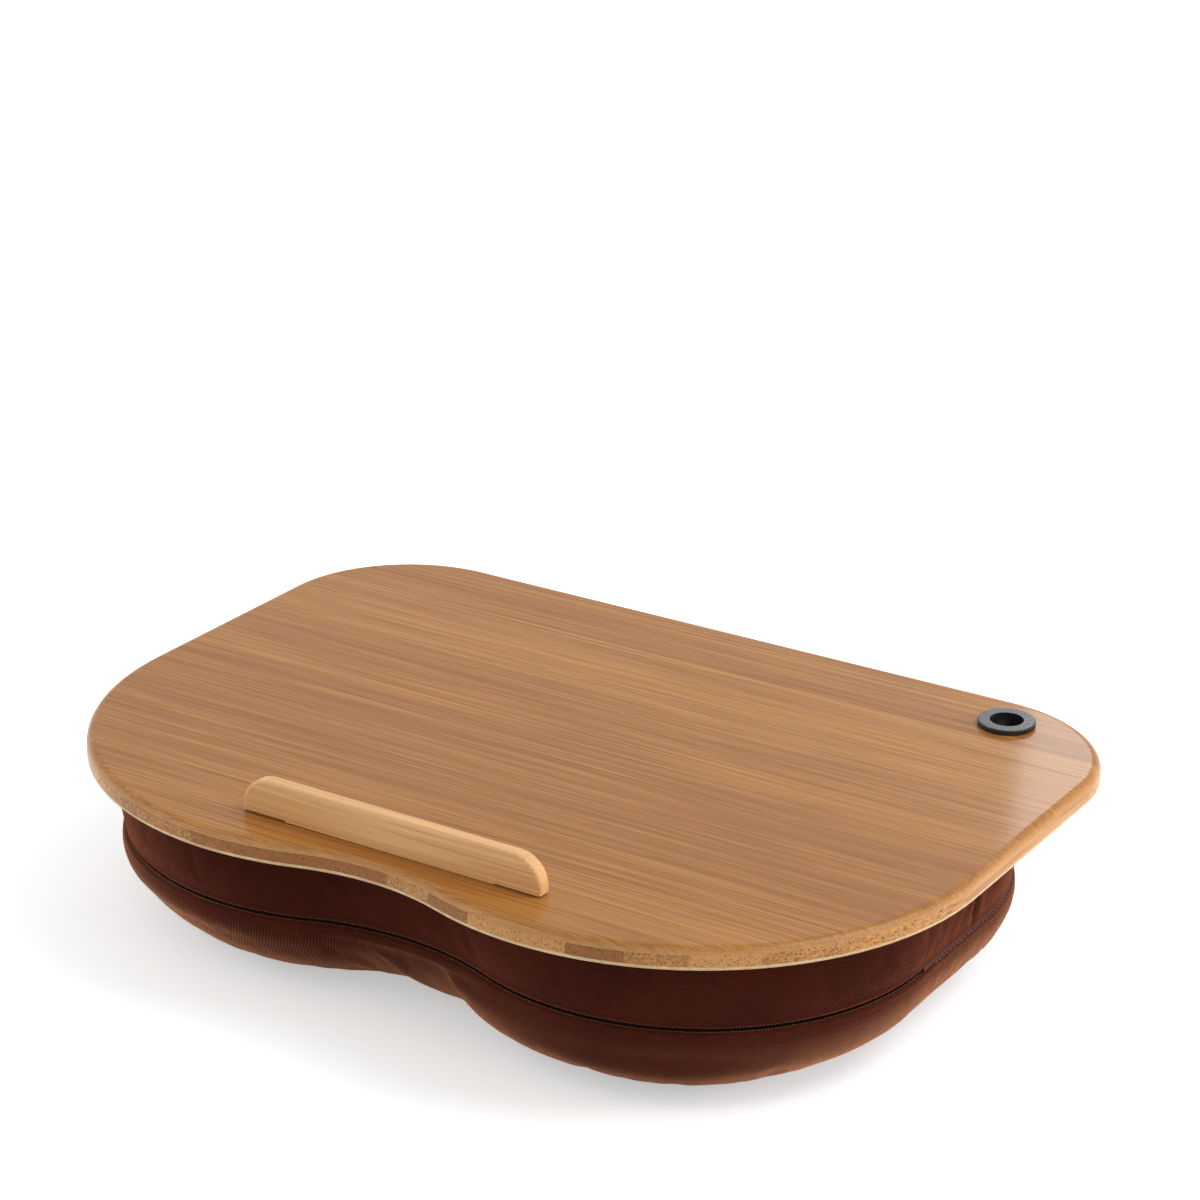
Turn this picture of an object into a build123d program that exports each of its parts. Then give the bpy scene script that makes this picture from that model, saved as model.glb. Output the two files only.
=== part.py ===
"""Lap tray with cushion: a bamboo board with a lift-out device stop and a cable
grommet, held by hook-and-loop strips on a two-lobed cushion with a zipped cover.

Millimetres. X runs across the tray, Y from its front to its rear, Z up. The
origin is on the surface that the cushion rests on, below the tray's centre.
"""

from build123d import *
from dataclasses import dataclass, replace
from math import asin, atan2, cos, degrees, hypot, pi, radians, sin
import os

# Tray board, a three-layer bamboo board with cross-laid core strips
TRAY_WIDTH = 381.0
TRAY_DEPTH = 279.4
TRAY_LOBE_OFFSET = 69.0        # centre to the foremost point of each front lobe
TRAY_WAIST_DEPTH = 11.0        # how far the front edge dips between the lobes
TRAY_REAR_RADIUS = 60.0
TOP_PLY = 2.5
CORE_PLY = 4.5
BOTTOM_PLY = 1.5
EDGE_ROUND = 4.0               # round along the board's upper edge
EDGE_EASE = 0.6                # small chamfer along the board's lower edge
STRIP_WIDTH = 20.7
STRIP_SHIFT = 7.1              # nearest core joint, measured from the centre

# Device stop, a bar with a tab that drops into a slot in the board
STOP_LENGTH = 134.0
STOP_THICKNESS = 6.5
STOP_HEIGHT = 14.5
STOP_END_RADIUS = 12.0
STOP_SOFTENING = 1.4
STOP_SETBACK = 21.0            # front lobes to the bar's front face
STOP_RELIEF = 0.5              # finger relief under each end of the bar
STOP_RELIEF_LENGTH = 20.0
TAB_THICKNESS = 4.5
TAB_DEPTH = 6.0

# Cable grommet at the rear right corner
GROMMET_SIDE_INSET = 52.0      # right edge to the hole's centre
GROMMET_REAR_INSET = 24.2      # rear edge to the hole's centre
GROMMET_BORE_RADIUS = 6.9
GROMMET_WALL = 1.5
GROMMET_FLANGE_RADIUS = 11.7
GROMMET_FLANGE = 2.2
GROMMET_FLANGE_SOFTENING = 0.5
GROMMET_LIP = 0.5              # snap lip, past the barrel's radius
GROMMET_LIP_HEIGHT = 0.9

# Cushion, as insets from the tray's edges and heights above the floor
CUSHION_SIDE_INSET = 15.0
CUSHION_FRONT_INSET = 15.5
CUSHION_REAR_INSET = 17.5
CUSHION_LOBE_OFFSET = 76.0
CUSHION_WAIST_DEPTH = 14.4
CUSHION_REAR_RADIUS = 90.0
SEAM_HEIGHT = 35.5             # floor to the zipped seam
BAND_HEIGHT = 29.2             # zipped seam to the top of the cushion
BAND_SWELL = 1.8               # how far the band swells out between its seams
LOWER_TAPER = 46.0             # how far the lower panel draws in to its lowest point
WAIST_DRAW = 9.0               # extra waist depth at the lowest point
LIP_DRAW = 1.2                 # lower panel's edge, drawn in at the seam
LIP_HEIGHT = 3.2
BASE_FLAT = 0.5                # depth of the flat where the cushion stands
FABRIC = 1.0

# Seam and zipper between the band and the lower panel
SEAM_GAP = 2.6
SEAM_RECESS = 1.4
BAND_SEAM_OFFSET = 42.0        # zipper end to the band's upright seam
TAPE_WIDTH = 5.5
TAPE_THICKNESS = 0.7
TAPE_EDGE = 0.4                # mid-seam to the inner edge of each tape
COIL_HEIGHT = 0.8
COIL_THICKNESS = 0.9
COIL_GAP = 0.1                 # mid-seam to each half of the coil
COIL_INSET = 2.4
END_STOP_LENGTH = 2.2

# Zipper slider and its pull tab
SLIDER_LENGTH = 9.0
SLIDER_HEIGHT = 6.0
SLIDER_PLATE = 1.4
SLIDER_CLEARANCE = 0.4
SLIDER_NECK_LENGTH = 5.0
SLIDER_NECK_HEIGHT = 1.6
SLIDER_SOFTENING = 1.2
EAR_THICKNESS = 0.8
EAR_LENGTH = 2.4
PIN_RADIUS = 0.5
PIN_CLEARANCE = 0.15
PIN_STANDOFF = 1.5             # plate's outer face to the pin's axis
BARREL_WALL = 0.5
BARREL_HEIGHT = 2.4
EAR_GAP = 0.2
PULL_LENGTH = 20.0
PULL_WIDTH = 5.0
PULL_THICKNESS = 0.9
PULL_NECK = 3.2
PULL_HOLE_RADIUS = 1.2

# Hook-and-loop strips between the tray and the cushion
STRIP_PAD_LENGTH = 200.0
STRIP_PAD_WIDTH = 25.0
STRIP_PAD_SPACING = 120.0
HOOK_THICKNESS = 1.0
LOOP_THICKNESS = 1.0

# Clearances
REST_GAP = 0.3                 # between bodies that rest on each other
FIT_GAP = 0.3                  # around the tab in its slot
BORE_GAP = 0.1                 # around the grommet's barrel
OVERRUN = 5.0                  # how far every cutting solid runs past

# Curves are lofted through this many levels
BAND_LEVELS = 5
LOWER_LEVELS = 8


@dataclass(frozen=True)
class Outline:
    """A symmetric plan outline with two front lobes and a waist between them."""

    width: float
    front: float
    rear: float
    lobe: float
    waist: float
    rear_radius: float

    @property
    def half(self):
        return self.width / 2

    @property
    def lobe_radius(self):
        """Radius of the arc from each lobe round to the side."""
        return self.half - self.lobe

    @property
    def corner_y(self):
        """Y of the front arcs' centres, where they meet the straight sides."""
        return self.front + self.lobe_radius

    @property
    def waist_radius(self):
        return (self.lobe**2 + self.waist**2) / (2 * self.waist) - self.lobe_radius

    @property
    def waist_turn(self):
        """Half of the waist arc's angle, in degrees."""
        across = self.lobe
        along = self.lobe_radius + self.waist_radius - self.waist
        return degrees(atan2(across, along))

    def wire(self, inset, z):
        """The outline drawn in by inset, as a closed wire at height z."""
        turn = self.waist_turn
        lobe_radius = self.lobe_radius - inset
        rear_radius = self.rear_radius - inset
        waist_centre = (0, self.front + self.waist - self.waist_radius, z)
        right = (self.lobe, self.corner_y, z)
        left = (-self.lobe, self.corner_y, z)
        rear_x = self.half - self.rear_radius
        rear_y = self.rear - self.rear_radius
        side = self.half - inset
        back = self.rear - inset
        quarter = 90
        return Wire([
            CenterArc(waist_centre, self.waist_radius + inset, quarter + turn, -2 * turn),
            CenterArc(right, lobe_radius, -quarter - turn, quarter + turn),
            Line((side, self.corner_y, z), (side, rear_y, z)),
            CenterArc((rear_x, rear_y, z), rear_radius, 0, quarter),
            Line((rear_x, back, z), (-rear_x, back, z)),
            CenterArc((-rear_x, rear_y, z), rear_radius, quarter, quarter),
            Line((-side, rear_y, z), (-side, self.corner_y, z)),
            CenterArc(left, lobe_radius, 2 * quarter, quarter + turn),
        ])

    def face(self, inset, z):
        return Face(self.wire(inset, z))

    def slab(self, inset, low, high):
        """The outline drawn in by inset, as a plate from height low to high."""
        return extrude(self.face(inset, low), high - low, dir=(0, 0, 1))

    def ring(self, outer_inset, inner_inset, low, high):
        """A band along the outline between two insets and two heights."""
        hole = self.slab(inner_inset, low - OVERRUN, high + OVERRUN)
        return self.slab(outer_inset, low, high) - hole


TRAY = Outline(
    TRAY_WIDTH, -TRAY_DEPTH / 2, TRAY_DEPTH / 2, TRAY_LOBE_OFFSET, TRAY_WAIST_DEPTH, TRAY_REAR_RADIUS
)
CUSHION = Outline(
    TRAY_WIDTH - 2 * CUSHION_SIDE_INSET,
    TRAY.front + CUSHION_FRONT_INSET,
    TRAY.rear - CUSHION_REAR_INSET,
    CUSHION_LOBE_OFFSET,
    CUSHION_WAIST_DEPTH,
    CUSHION_REAR_RADIUS,
)

# Heights that follow from the sizes above
CUSHION_TOP = SEAM_HEIGHT + BAND_HEIGHT
TRAY_BOTTOM = CUSHION_TOP + LOOP_THICKNESS + REST_GAP + HOOK_THICKNESS
CORE_BOTTOM = TRAY_BOTTOM + BOTTOM_PLY
CORE_TOP = CORE_BOTTOM + CORE_PLY
TRAY_TOP = CORE_TOP + TOP_PLY
SEAM_LOW = SEAM_HEIGHT - SEAM_GAP / 2
SEAM_HIGH = SEAM_HEIGHT + SEAM_GAP / 2
TAPE_INSET = COIL_INSET + COIL_THICKNESS
NECK_INSET = TAPE_INSET + TAPE_THICKNESS
ZIPPER_END_Y = CUSHION.corner_y
BAND_SEAM_Y = ZIPPER_END_Y + BAND_SEAM_OFFSET
GROMMET_X = TRAY.half - GROMMET_SIDE_INSET
GROMMET_Y = TRAY.rear - GROMMET_REAR_INSET
STOP_FRONT = TRAY.front + STOP_SETBACK
STOP_Y = STOP_FRONT + STOP_THICKNESS / 2
TAB_LENGTH = STOP_LENGTH - 2 * STOP_RELIEF_LENGTH


def block(x_range, y_range, z_range):
    """A box from three (low, high) pairs."""
    size = [high - low for low, high in (x_range, y_range, z_range)]
    middle = [(low + high) / 2 for low, high in (x_range, y_range, z_range)]
    return Pos(*middle) * Box(*size)


def whole_width(low_y, high_y, low_z, high_z):
    """A box across the whole tray, for cutting."""
    reach = TRAY.half + OVERRUN
    return block((-reach, reach), (low_y, high_y), (low_z, high_z))


def slab_between(low, high):
    """A box over the whole plan between two heights, for cutting."""
    return whole_width(TRAY.front - OVERRUN, TRAY.rear + OVERRUN, low, high)


# Tray board


def board():
    """The whole board with its rounded edge, slot and cable hole, before it is split into layers."""
    solid = TRAY.slab(0, TRAY_BOTTOM, TRAY_TOP)
    solid = fillet(solid.faces().sort_by(Axis.Z)[-1].edges(), EDGE_ROUND)
    solid = chamfer(solid.faces().sort_by(Axis.Z)[0].edges(), EDGE_EASE)
    slot_length = TAB_LENGTH + 2 * FIT_GAP
    slot_width = TAB_THICKNESS + 2 * FIT_GAP
    slot_floor = TRAY_TOP - TAB_DEPTH - FIT_GAP
    slot = block(
        (-slot_length / 2, slot_length / 2),
        (STOP_Y - slot_width / 2, STOP_Y + slot_width / 2),
        (slot_floor, TRAY_TOP + OVERRUN),
    )
    hole_radius = GROMMET_BORE_RADIUS + GROMMET_WALL + BORE_GAP
    hole_height = TRAY_TOP - TRAY_BOTTOM + 2 * OVERRUN
    hole = Pos(GROMMET_X, GROMMET_Y, (TRAY_TOP + TRAY_BOTTOM) / 2) * Cylinder(hole_radius, hole_height)
    return solid - slot - hole


def layer(solid, low, high):
    return solid & slab_between(low, high)


def strip_edges():
    """X of every joint between core strips, with the board's two sides at the ends."""
    first = STRIP_SHIFT
    while first - STRIP_WIDTH > -TRAY.half:
        first -= STRIP_WIDTH
    joints = [-TRAY.half]
    while first < TRAY.half:
        joints.append(first)
        first += STRIP_WIDTH
    return joints + [TRAY.half]


def core_strips(solid):
    """The core layer as its separate cross-laid strips, from left to right."""
    core = layer(solid, CORE_BOTTOM, CORE_TOP)
    edges = strip_edges()
    reach_y = (TRAY.front - OVERRUN, TRAY.rear + OVERRUN)
    reach_z = (CORE_BOTTOM - OVERRUN, CORE_TOP + OVERRUN)
    return [core & block((low, high), reach_y, reach_z) for low, high in zip(edges, edges[1:])]


def stop_bar():
    """Device stop: a bar with rounded upper ends, relieved under its ends, with a tab below."""
    base = TRAY_TOP + REST_GAP
    half = STOP_LENGTH / 2
    bar = block(
        (-half, half),
        (STOP_FRONT, STOP_FRONT + STOP_THICKNESS),
        (base, base + STOP_HEIGHT),
    )
    upper = bar.edges().filter_by(Axis.Y).group_by(Axis.Z)[-1]
    bar = fillet(upper, STOP_END_RADIUS)
    outlines = bar.edges().filter_by(Axis.Y, reverse=True)
    bar = fillet([edge for edge in outlines if edge.center().Z > base + STOP_RELIEF], STOP_SOFTENING)
    for side in (-1, 1):
        inner, tip = side * (half - STOP_RELIEF_LENGTH), side * (half + OVERRUN)
        bar -= block(
            (min(inner, tip), max(inner, tip)),
            (STOP_FRONT - OVERRUN, STOP_FRONT + STOP_THICKNESS + OVERRUN),
            (base - OVERRUN, base + STOP_RELIEF),
        )
    tab = block(
        (-TAB_LENGTH / 2, TAB_LENGTH / 2),
        (STOP_Y - TAB_THICKNESS / 2, STOP_Y + TAB_THICKNESS / 2),
        (TRAY_TOP - TAB_DEPTH, base + STOP_SOFTENING),
    )
    return bar + tab


def cable_grommet():
    """Flanged plastic liner of the cable hole, with a snap lip below the board."""
    barrel_radius = GROMMET_BORE_RADIUS + GROMMET_WALL
    flange = Pos(0, 0, TRAY_TOP) * Cylinder(
        GROMMET_FLANGE_RADIUS, GROMMET_FLANGE, align=(Align.CENTER, Align.CENTER, Align.MIN)
    )
    flange = fillet(flange.edges().group_by(Axis.Z)[-1], GROMMET_FLANGE_SOFTENING)
    barrel_low = TRAY_BOTTOM - GROMMET_LIP_HEIGHT
    barrel_height = TRAY_TOP + GROMMET_FLANGE / 2 - barrel_low
    barrel = Pos(0, 0, barrel_low) * Cylinder(
        barrel_radius, barrel_height, align=(Align.CENTER, Align.CENTER, Align.MIN)
    )
    lip = Pos(0, 0, barrel_low) * Cone(
        barrel_radius,
        barrel_radius + GROMMET_LIP,
        GROMMET_LIP_HEIGHT,
        align=(Align.CENTER, Align.CENTER, Align.MIN),
    )
    bore_height = TRAY_TOP + GROMMET_FLANGE - barrel_low + 2 * OVERRUN
    bore = Pos(0, 0, barrel_low - OVERRUN) * Cylinder(
        GROMMET_BORE_RADIUS, bore_height, align=(Align.CENTER, Align.CENTER, Align.MIN)
    )
    return Pos(GROMMET_X, GROMMET_Y, 0) * (flange + barrel + lip - bore)


def pad(side, low, high):
    """One hook or loop strip, at the front for side -1 and at the rear for side 1."""
    middle = side * STRIP_PAD_SPACING / 2
    return block(
        (-STRIP_PAD_LENGTH / 2, STRIP_PAD_LENGTH / 2),
        (middle - STRIP_PAD_WIDTH / 2, middle + STRIP_PAD_WIDTH / 2),
        (low, high),
    )


# Cushion


def band_sections(extra):
    """Levels of the upright band, swelling out between its two seams."""
    sections = []
    for step in range(BAND_LEVELS):
        share = step / (BAND_LEVELS - 1)
        z = SEAM_HIGH + share * (CUSHION_TOP - SEAM_HIGH)
        swell = BAND_SWELL * 4 * share * (1 - share)
        sections.append(CUSHION.face(BAND_SWELL - swell + extra, z))
    return sections


def lower_sections(extra):
    """Levels of the lower panel: a drawn-in lip, then a quarter ellipse to the lowest point."""
    drop = SEAM_LOW + BASE_FLAT
    sections = [CUSHION.face(LIP_DRAW + extra, SEAM_LOW)]
    lip_angle = asin(LIP_HEIGHT / drop)
    for step in range(LOWER_LEVELS):
        angle = lip_angle + (pi / 2 - lip_angle) * step / (LOWER_LEVELS - 1)
        depth = sin(angle)
        level = replace(CUSHION, waist=CUSHION_WAIST_DEPTH + WAIST_DRAW * depth)
        inset = LOWER_TAPER * (1 - cos(angle))
        sections.append(level.face(inset + extra, SEAM_LOW - drop * depth))
    return sections


def band_block(extra):
    return loft(band_sections(extra))


def lower_block(extra):
    """The lower half of the cushion, cut flat where it stands."""
    base = whole_width(TRAY.front, TRAY.rear, -SEAM_HEIGHT, extra)
    return loft(lower_sections(extra)) - base


def front_of(solid, y):
    return solid & whole_width(TRAY.front - OVERRUN, y, -OVERRUN, TRAY_TOP)


def rear_of(solid, y):
    return solid & whole_width(y, TRAY.rear + OVERRUN, -OVERRUN, TRAY_TOP)


def band_shell():
    """The fabric band round the cushion, before it is split at its upright seams."""
    shell = band_block(0) - band_block(FABRIC)
    return shell & slab_between(SEAM_HIGH, CUSHION_TOP - FABRIC)


def top_panel():
    return CUSHION.slab(BAND_SWELL, CUSHION_TOP - FABRIC, CUSHION_TOP)


def bottom_panel():
    """The lower fabric panel, from the zipped seam to the flat that it stands on."""
    return lower_block(0) - lower_block(FABRIC)


def filling():
    """The stuffing, with room cut round it for the seam and the zipper tapes."""
    upper = band_block(FABRIC) & slab_between(SEAM_HIGH, CUSHION_TOP - FABRIC)
    neck = CUSHION.slab(NECK_INSET, SEAM_LOW - OVERRUN, SEAM_HIGH + OVERRUN)
    body = lower_block(FABRIC) + neck + upper
    reach = SEAM_GAP / 2 + TAPE_WIDTH
    room = CUSHION.ring(-OVERRUN, NECK_INSET, SEAM_HEIGHT - reach, SEAM_HEIGHT + reach)
    return body - front_of(room, ZIPPER_END_Y)


def rear_seam():
    """The sewn seam between the band and the lower panel, past the zipper's ends."""
    seam = CUSHION.ring(SEAM_RECESS, NECK_INSET, SEAM_LOW, SEAM_HIGH)
    return rear_of(seam, ZIPPER_END_Y + END_STOP_LENGTH)


def zipper_tape(side):
    """One zipper tape, above the seam for side 1 and below it for side -1."""
    near = SEAM_HEIGHT + side * TAPE_EDGE
    far = near + side * TAPE_WIDTH
    tape = CUSHION.ring(TAPE_INSET, NECK_INSET, min(near, far), max(near, far))
    return front_of(tape, ZIPPER_END_Y)


def zipper_coil(side):
    """One half of the closed coil, sewn to the inner edge of its tape."""
    near = SEAM_HEIGHT + side * COIL_GAP
    far = near + side * COIL_HEIGHT
    coil = CUSHION.ring(COIL_INSET, TAPE_INSET, min(near, far), max(near, far))
    return front_of(coil, ZIPPER_END_Y)


def zipper_end_stops():
    """The two end stops, one past each end of the coil."""
    reach = COIL_GAP + COIL_HEIGHT
    stops = CUSHION.ring(COIL_INSET, NECK_INSET, SEAM_HEIGHT - reach, SEAM_HEIGHT + reach)
    return rear_of(front_of(stops, ZIPPER_END_Y + END_STOP_LENGTH), ZIPPER_END_Y)


# Zipper slider and pull tab, drawn with the zipper along Y and outward as -X


SLIDER_INNER = -CUSHION.half - SLIDER_CLEARANCE
SLIDER_OUTER = SLIDER_INNER - SLIDER_PLATE
PIN_X = SLIDER_OUTER - PIN_STANDOFF
BARREL_RADIUS = PIN_RADIUS + PIN_CLEARANCE + BARREL_WALL
EAR_INNER = BARREL_HEIGHT / 2 + EAR_GAP
PARK_TURN = degrees(asin((SLIDER_LENGTH / 2 + SLIDER_CLEARANCE) / CUSHION.lobe_radius))


def park(shape):
    """Turns a piece from the zipper's end to where the slider parks, about the corner's centre."""
    centre = Pos(-CUSHION.lobe, CUSHION.corner_y, 0)
    return centre * Rot(0, 0, PARK_TURN) * Pos(CUSHION.lobe, -CUSHION.corner_y, 0) * shape


def zipper_slider():
    """Slider: a plate outside the seam, a neck that runs in it, and two ears with a pin."""
    y = ZIPPER_END_Y
    half_length, half_height = SLIDER_LENGTH / 2, SLIDER_HEIGHT / 2
    plate = block(
        (SLIDER_OUTER, SLIDER_INNER),
        (y - half_length, y + half_length),
        (SEAM_HEIGHT - half_height, SEAM_HEIGHT + half_height),
    )
    plate = fillet(plate.edges().filter_by(Axis.X), SLIDER_SOFTENING)
    neck = block(
        (SLIDER_INNER - SLIDER_PLATE / 2, -CUSHION.half + COIL_INSET - SLIDER_CLEARANCE),
        (y - SLIDER_NECK_LENGTH / 2, y + SLIDER_NECK_LENGTH / 2),
        (SEAM_HEIGHT - SLIDER_NECK_HEIGHT / 2, SEAM_HEIGHT + SLIDER_NECK_HEIGHT / 2),
    )
    solid = plate + neck
    for side in (-1, 1):
        near = SEAM_HEIGHT + side * EAR_INNER
        far = near + side * EAR_THICKNESS
        solid += block(
            (PIN_X - PIN_RADIUS - BARREL_WALL, SLIDER_INNER - SLIDER_PLATE / 2),
            (y - EAR_LENGTH / 2, y + EAR_LENGTH / 2),
            (min(near, far), max(near, far)),
        )
    pin_height = 2 * EAR_INNER + EAR_THICKNESS
    solid += Pos(PIN_X, y, SEAM_HEIGHT) * Cylinder(PIN_RADIUS, pin_height)
    return park(solid)


def pull_tab():
    """Pull tab: a barrel on the slider's pin and a leaf that lies back along the zipper."""
    y = ZIPPER_END_Y
    barrel = Pos(PIN_X, y, SEAM_HEIGHT) * Cylinder(BARREL_RADIUS, BARREL_HEIGHT)
    half_thickness = PULL_THICKNESS / 2
    neck = block(
        (PIN_X - half_thickness, PIN_X + half_thickness),
        (y, y + PULL_NECK + PULL_HOLE_RADIUS),
        (SEAM_HEIGHT - BARREL_HEIGHT / 2, SEAM_HEIGHT + BARREL_HEIGHT / 2),
    )
    leaf = block(
        (PIN_X - half_thickness, PIN_X + half_thickness),
        (y + PULL_NECK, y + PULL_LENGTH),
        (SEAM_HEIGHT - PULL_WIDTH / 2, SEAM_HEIGHT + PULL_WIDTH / 2),
    )
    leaf = fillet(leaf.edges().filter_by(Axis.X), SLIDER_SOFTENING)
    reach = 2 * BARREL_RADIUS
    hole_y = y + PULL_LENGTH - 2 * PULL_HOLE_RADIUS
    eye = Pos(PIN_X, hole_y, SEAM_HEIGHT) * Rot(0, 90, 0) * Cylinder(PULL_HOLE_RADIUS, reach)
    pin_hole = Pos(PIN_X, y, SEAM_HEIGHT) * Cylinder(PIN_RADIUS + PIN_CLEARANCE, BARREL_HEIGHT + 2 * EAR_GAP)
    return park(barrel + neck + leaf - eye - pin_hole)


def tray_nodes():
    solid = board()
    nodes = {
        "top_ply": layer(solid, CORE_TOP, TRAY_TOP + OVERRUN),
        "bottom_ply": layer(solid, TRAY_BOTTOM - OVERRUN, CORE_BOTTOM),
        "cable_grommet": cable_grommet(),
        "hook_strip_front": pad(-1, TRAY_BOTTOM - HOOK_THICKNESS, TRAY_BOTTOM),
        "hook_strip_rear": pad(1, TRAY_BOTTOM - HOOK_THICKNESS, TRAY_BOTTOM),
        "stop_bar": stop_bar(),
    }
    for number, strip in enumerate(core_strips(solid), start=1):
        nodes[f"core_strip_{number:02d}"] = strip
    return nodes


def cushion_nodes():
    band = band_shell()
    return {
        "filling": filling(),
        "bottom_panel": bottom_panel(),
        "front_band": front_of(band, BAND_SEAM_Y),
        "rear_band": rear_of(band, BAND_SEAM_Y),
        "top_panel": top_panel(),
        "rear_seam": rear_seam(),
        "loop_strip_front": pad(-1, CUSHION_TOP, CUSHION_TOP + LOOP_THICKNESS),
        "loop_strip_rear": pad(1, CUSHION_TOP, CUSHION_TOP + LOOP_THICKNESS),
        "zipper_tape_upper": zipper_tape(1),
        "zipper_tape_lower": zipper_tape(-1),
        "zipper_coil_upper": zipper_coil(1),
        "zipper_coil_lower": zipper_coil(-1),
        "zipper_end_stops": zipper_end_stops(),
        "zipper_slider": zipper_slider(),
        "pull_tab": pull_tab(),
    }


def corner_axis():
    """The vertical axis that the slider turns about, as X and Y."""
    return -CUSHION.lobe, CUSHION.corner_y


def pin_axis():
    """The pull tab's pin where the slider parks, as X and Y."""
    x, y = corner_axis()
    reach = hypot(PIN_X - x, ZIPPER_END_Y - y)
    turn = radians(180 + PARK_TURN)
    return x + reach * cos(turn), y + reach * sin(turn)


def main():
    os.makedirs("parts", exist_ok=True)
    for name, shape in {**tray_nodes(), **cushion_nodes()}.items():
        export_step(shape, f"parts/{name}.step")
    print("tray underside", TRAY_BOTTOM, "tray top", TRAY_TOP, "seam", SEAM_HEIGHT)
    print("slider axis", corner_axis(), "pull tab axis", pin_axis())
    print("slider travel to the waist", 90 + CUSHION.waist_turn - 2 * PARK_TURN)
    print("grommet axis", (GROMMET_X, GROMMET_Y))


if __name__ == "__main__":
    main()
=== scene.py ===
"""Lap tray with cushion: a bamboo board with a stop bar on a lobed, zip-covered cushion.

Metres. X runs across the tray, Y from the user's edge to the rear, Z up from the floor.
"""

import logging
import math
from dataclasses import dataclass, field, replace
from enum import Enum
from typing import Iterable, Sequence

import bpy
import numpy as np
from mathutils import Matrix, Vector


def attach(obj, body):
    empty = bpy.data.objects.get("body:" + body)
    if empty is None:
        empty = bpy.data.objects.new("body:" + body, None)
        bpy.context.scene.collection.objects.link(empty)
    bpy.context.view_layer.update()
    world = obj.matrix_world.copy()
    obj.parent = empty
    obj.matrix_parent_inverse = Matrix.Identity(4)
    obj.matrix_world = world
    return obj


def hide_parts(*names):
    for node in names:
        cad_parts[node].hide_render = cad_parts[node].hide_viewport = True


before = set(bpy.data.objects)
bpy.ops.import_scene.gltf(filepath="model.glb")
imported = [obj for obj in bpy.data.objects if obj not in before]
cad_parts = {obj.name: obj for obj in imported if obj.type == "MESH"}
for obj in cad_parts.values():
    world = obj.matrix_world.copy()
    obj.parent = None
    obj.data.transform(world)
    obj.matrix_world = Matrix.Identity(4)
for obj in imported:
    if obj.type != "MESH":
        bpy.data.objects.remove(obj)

MM = 0.001
TURN = 2 * math.pi
TINY = 1e-12
NOISE_RANGE = (0.3, 0.7)
SINE_RANGE = (-1.0, 1.0)
LOG = logging.getLogger("lap_tray")

Colour = tuple[float, float, float, float]
Face = tuple[int, ...]
Pair = tuple[float, float]
Profile = tuple[Pair, ...]
Socket = bpy.types.NodeSocket

WHITE: Colour = (1.0, 1.0, 1.0, 1.0)


def paint(red: int, green: int, blue: int) -> Colour:
    """Turns a display colour into the linear one that shaders use.

    Args:
        red: Red, 0 to 255.
        green: Green, 0 to 255.
        blue: Blue, 0 to 255.

    Returns:
        The linear colour with full alpha.
    """

    def linear(level: int) -> float:
        """Converts one channel from display to linear."""
        share = level / 255
        return share / 12.92 if share <= 0.04045 else ((share + 0.055) / 1.055) ** 2.4

    return linear(red), linear(green), linear(blue), 1.0


class Graph:
    """Adds nodes to one node tree."""

    def __init__(self, tree: bpy.types.NodeTree, prefix: str = "") -> None:
        """Takes a tree to fill.

        Args:
            tree: The node tree.
            prefix: The start that its nodes' type names share.
        """
        self.tree = tree
        self.prefix = prefix

    def feed(self, socket: Socket, value: object) -> None:
        """Links a socket to another, or sets its own value.

        Args:
            socket: The input to fill.
            value: An output socket, a number, a vector or a colour.
        """
        if isinstance(value, bpy.types.NodeSocket):
            self.tree.links.new(value, socket)
        else:
            socket.default_value = value

    def node(self, kind: str, inputs: dict[int | str, object], **settings: object) -> bpy.types.Node:
        """Adds one node.

        Args:
            kind: The node's type name, without the shared start.
            inputs: Values or sockets for its inputs, by index or name.
            **settings: Properties of the node itself.

        Returns:
            The node.
        """
        made = self.tree.nodes.new(self.prefix + kind)
        for name, value in settings.items():
            setattr(made, name, value)
        for key, value in inputs.items():
            self.feed(made.inputs[key], value)
        return made


class Place(Enum):
    """What a pattern follows: the object's own coordinates, or metres along the cloth."""

    OBJECT = "Object"
    CLOTH = "UV"


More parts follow.
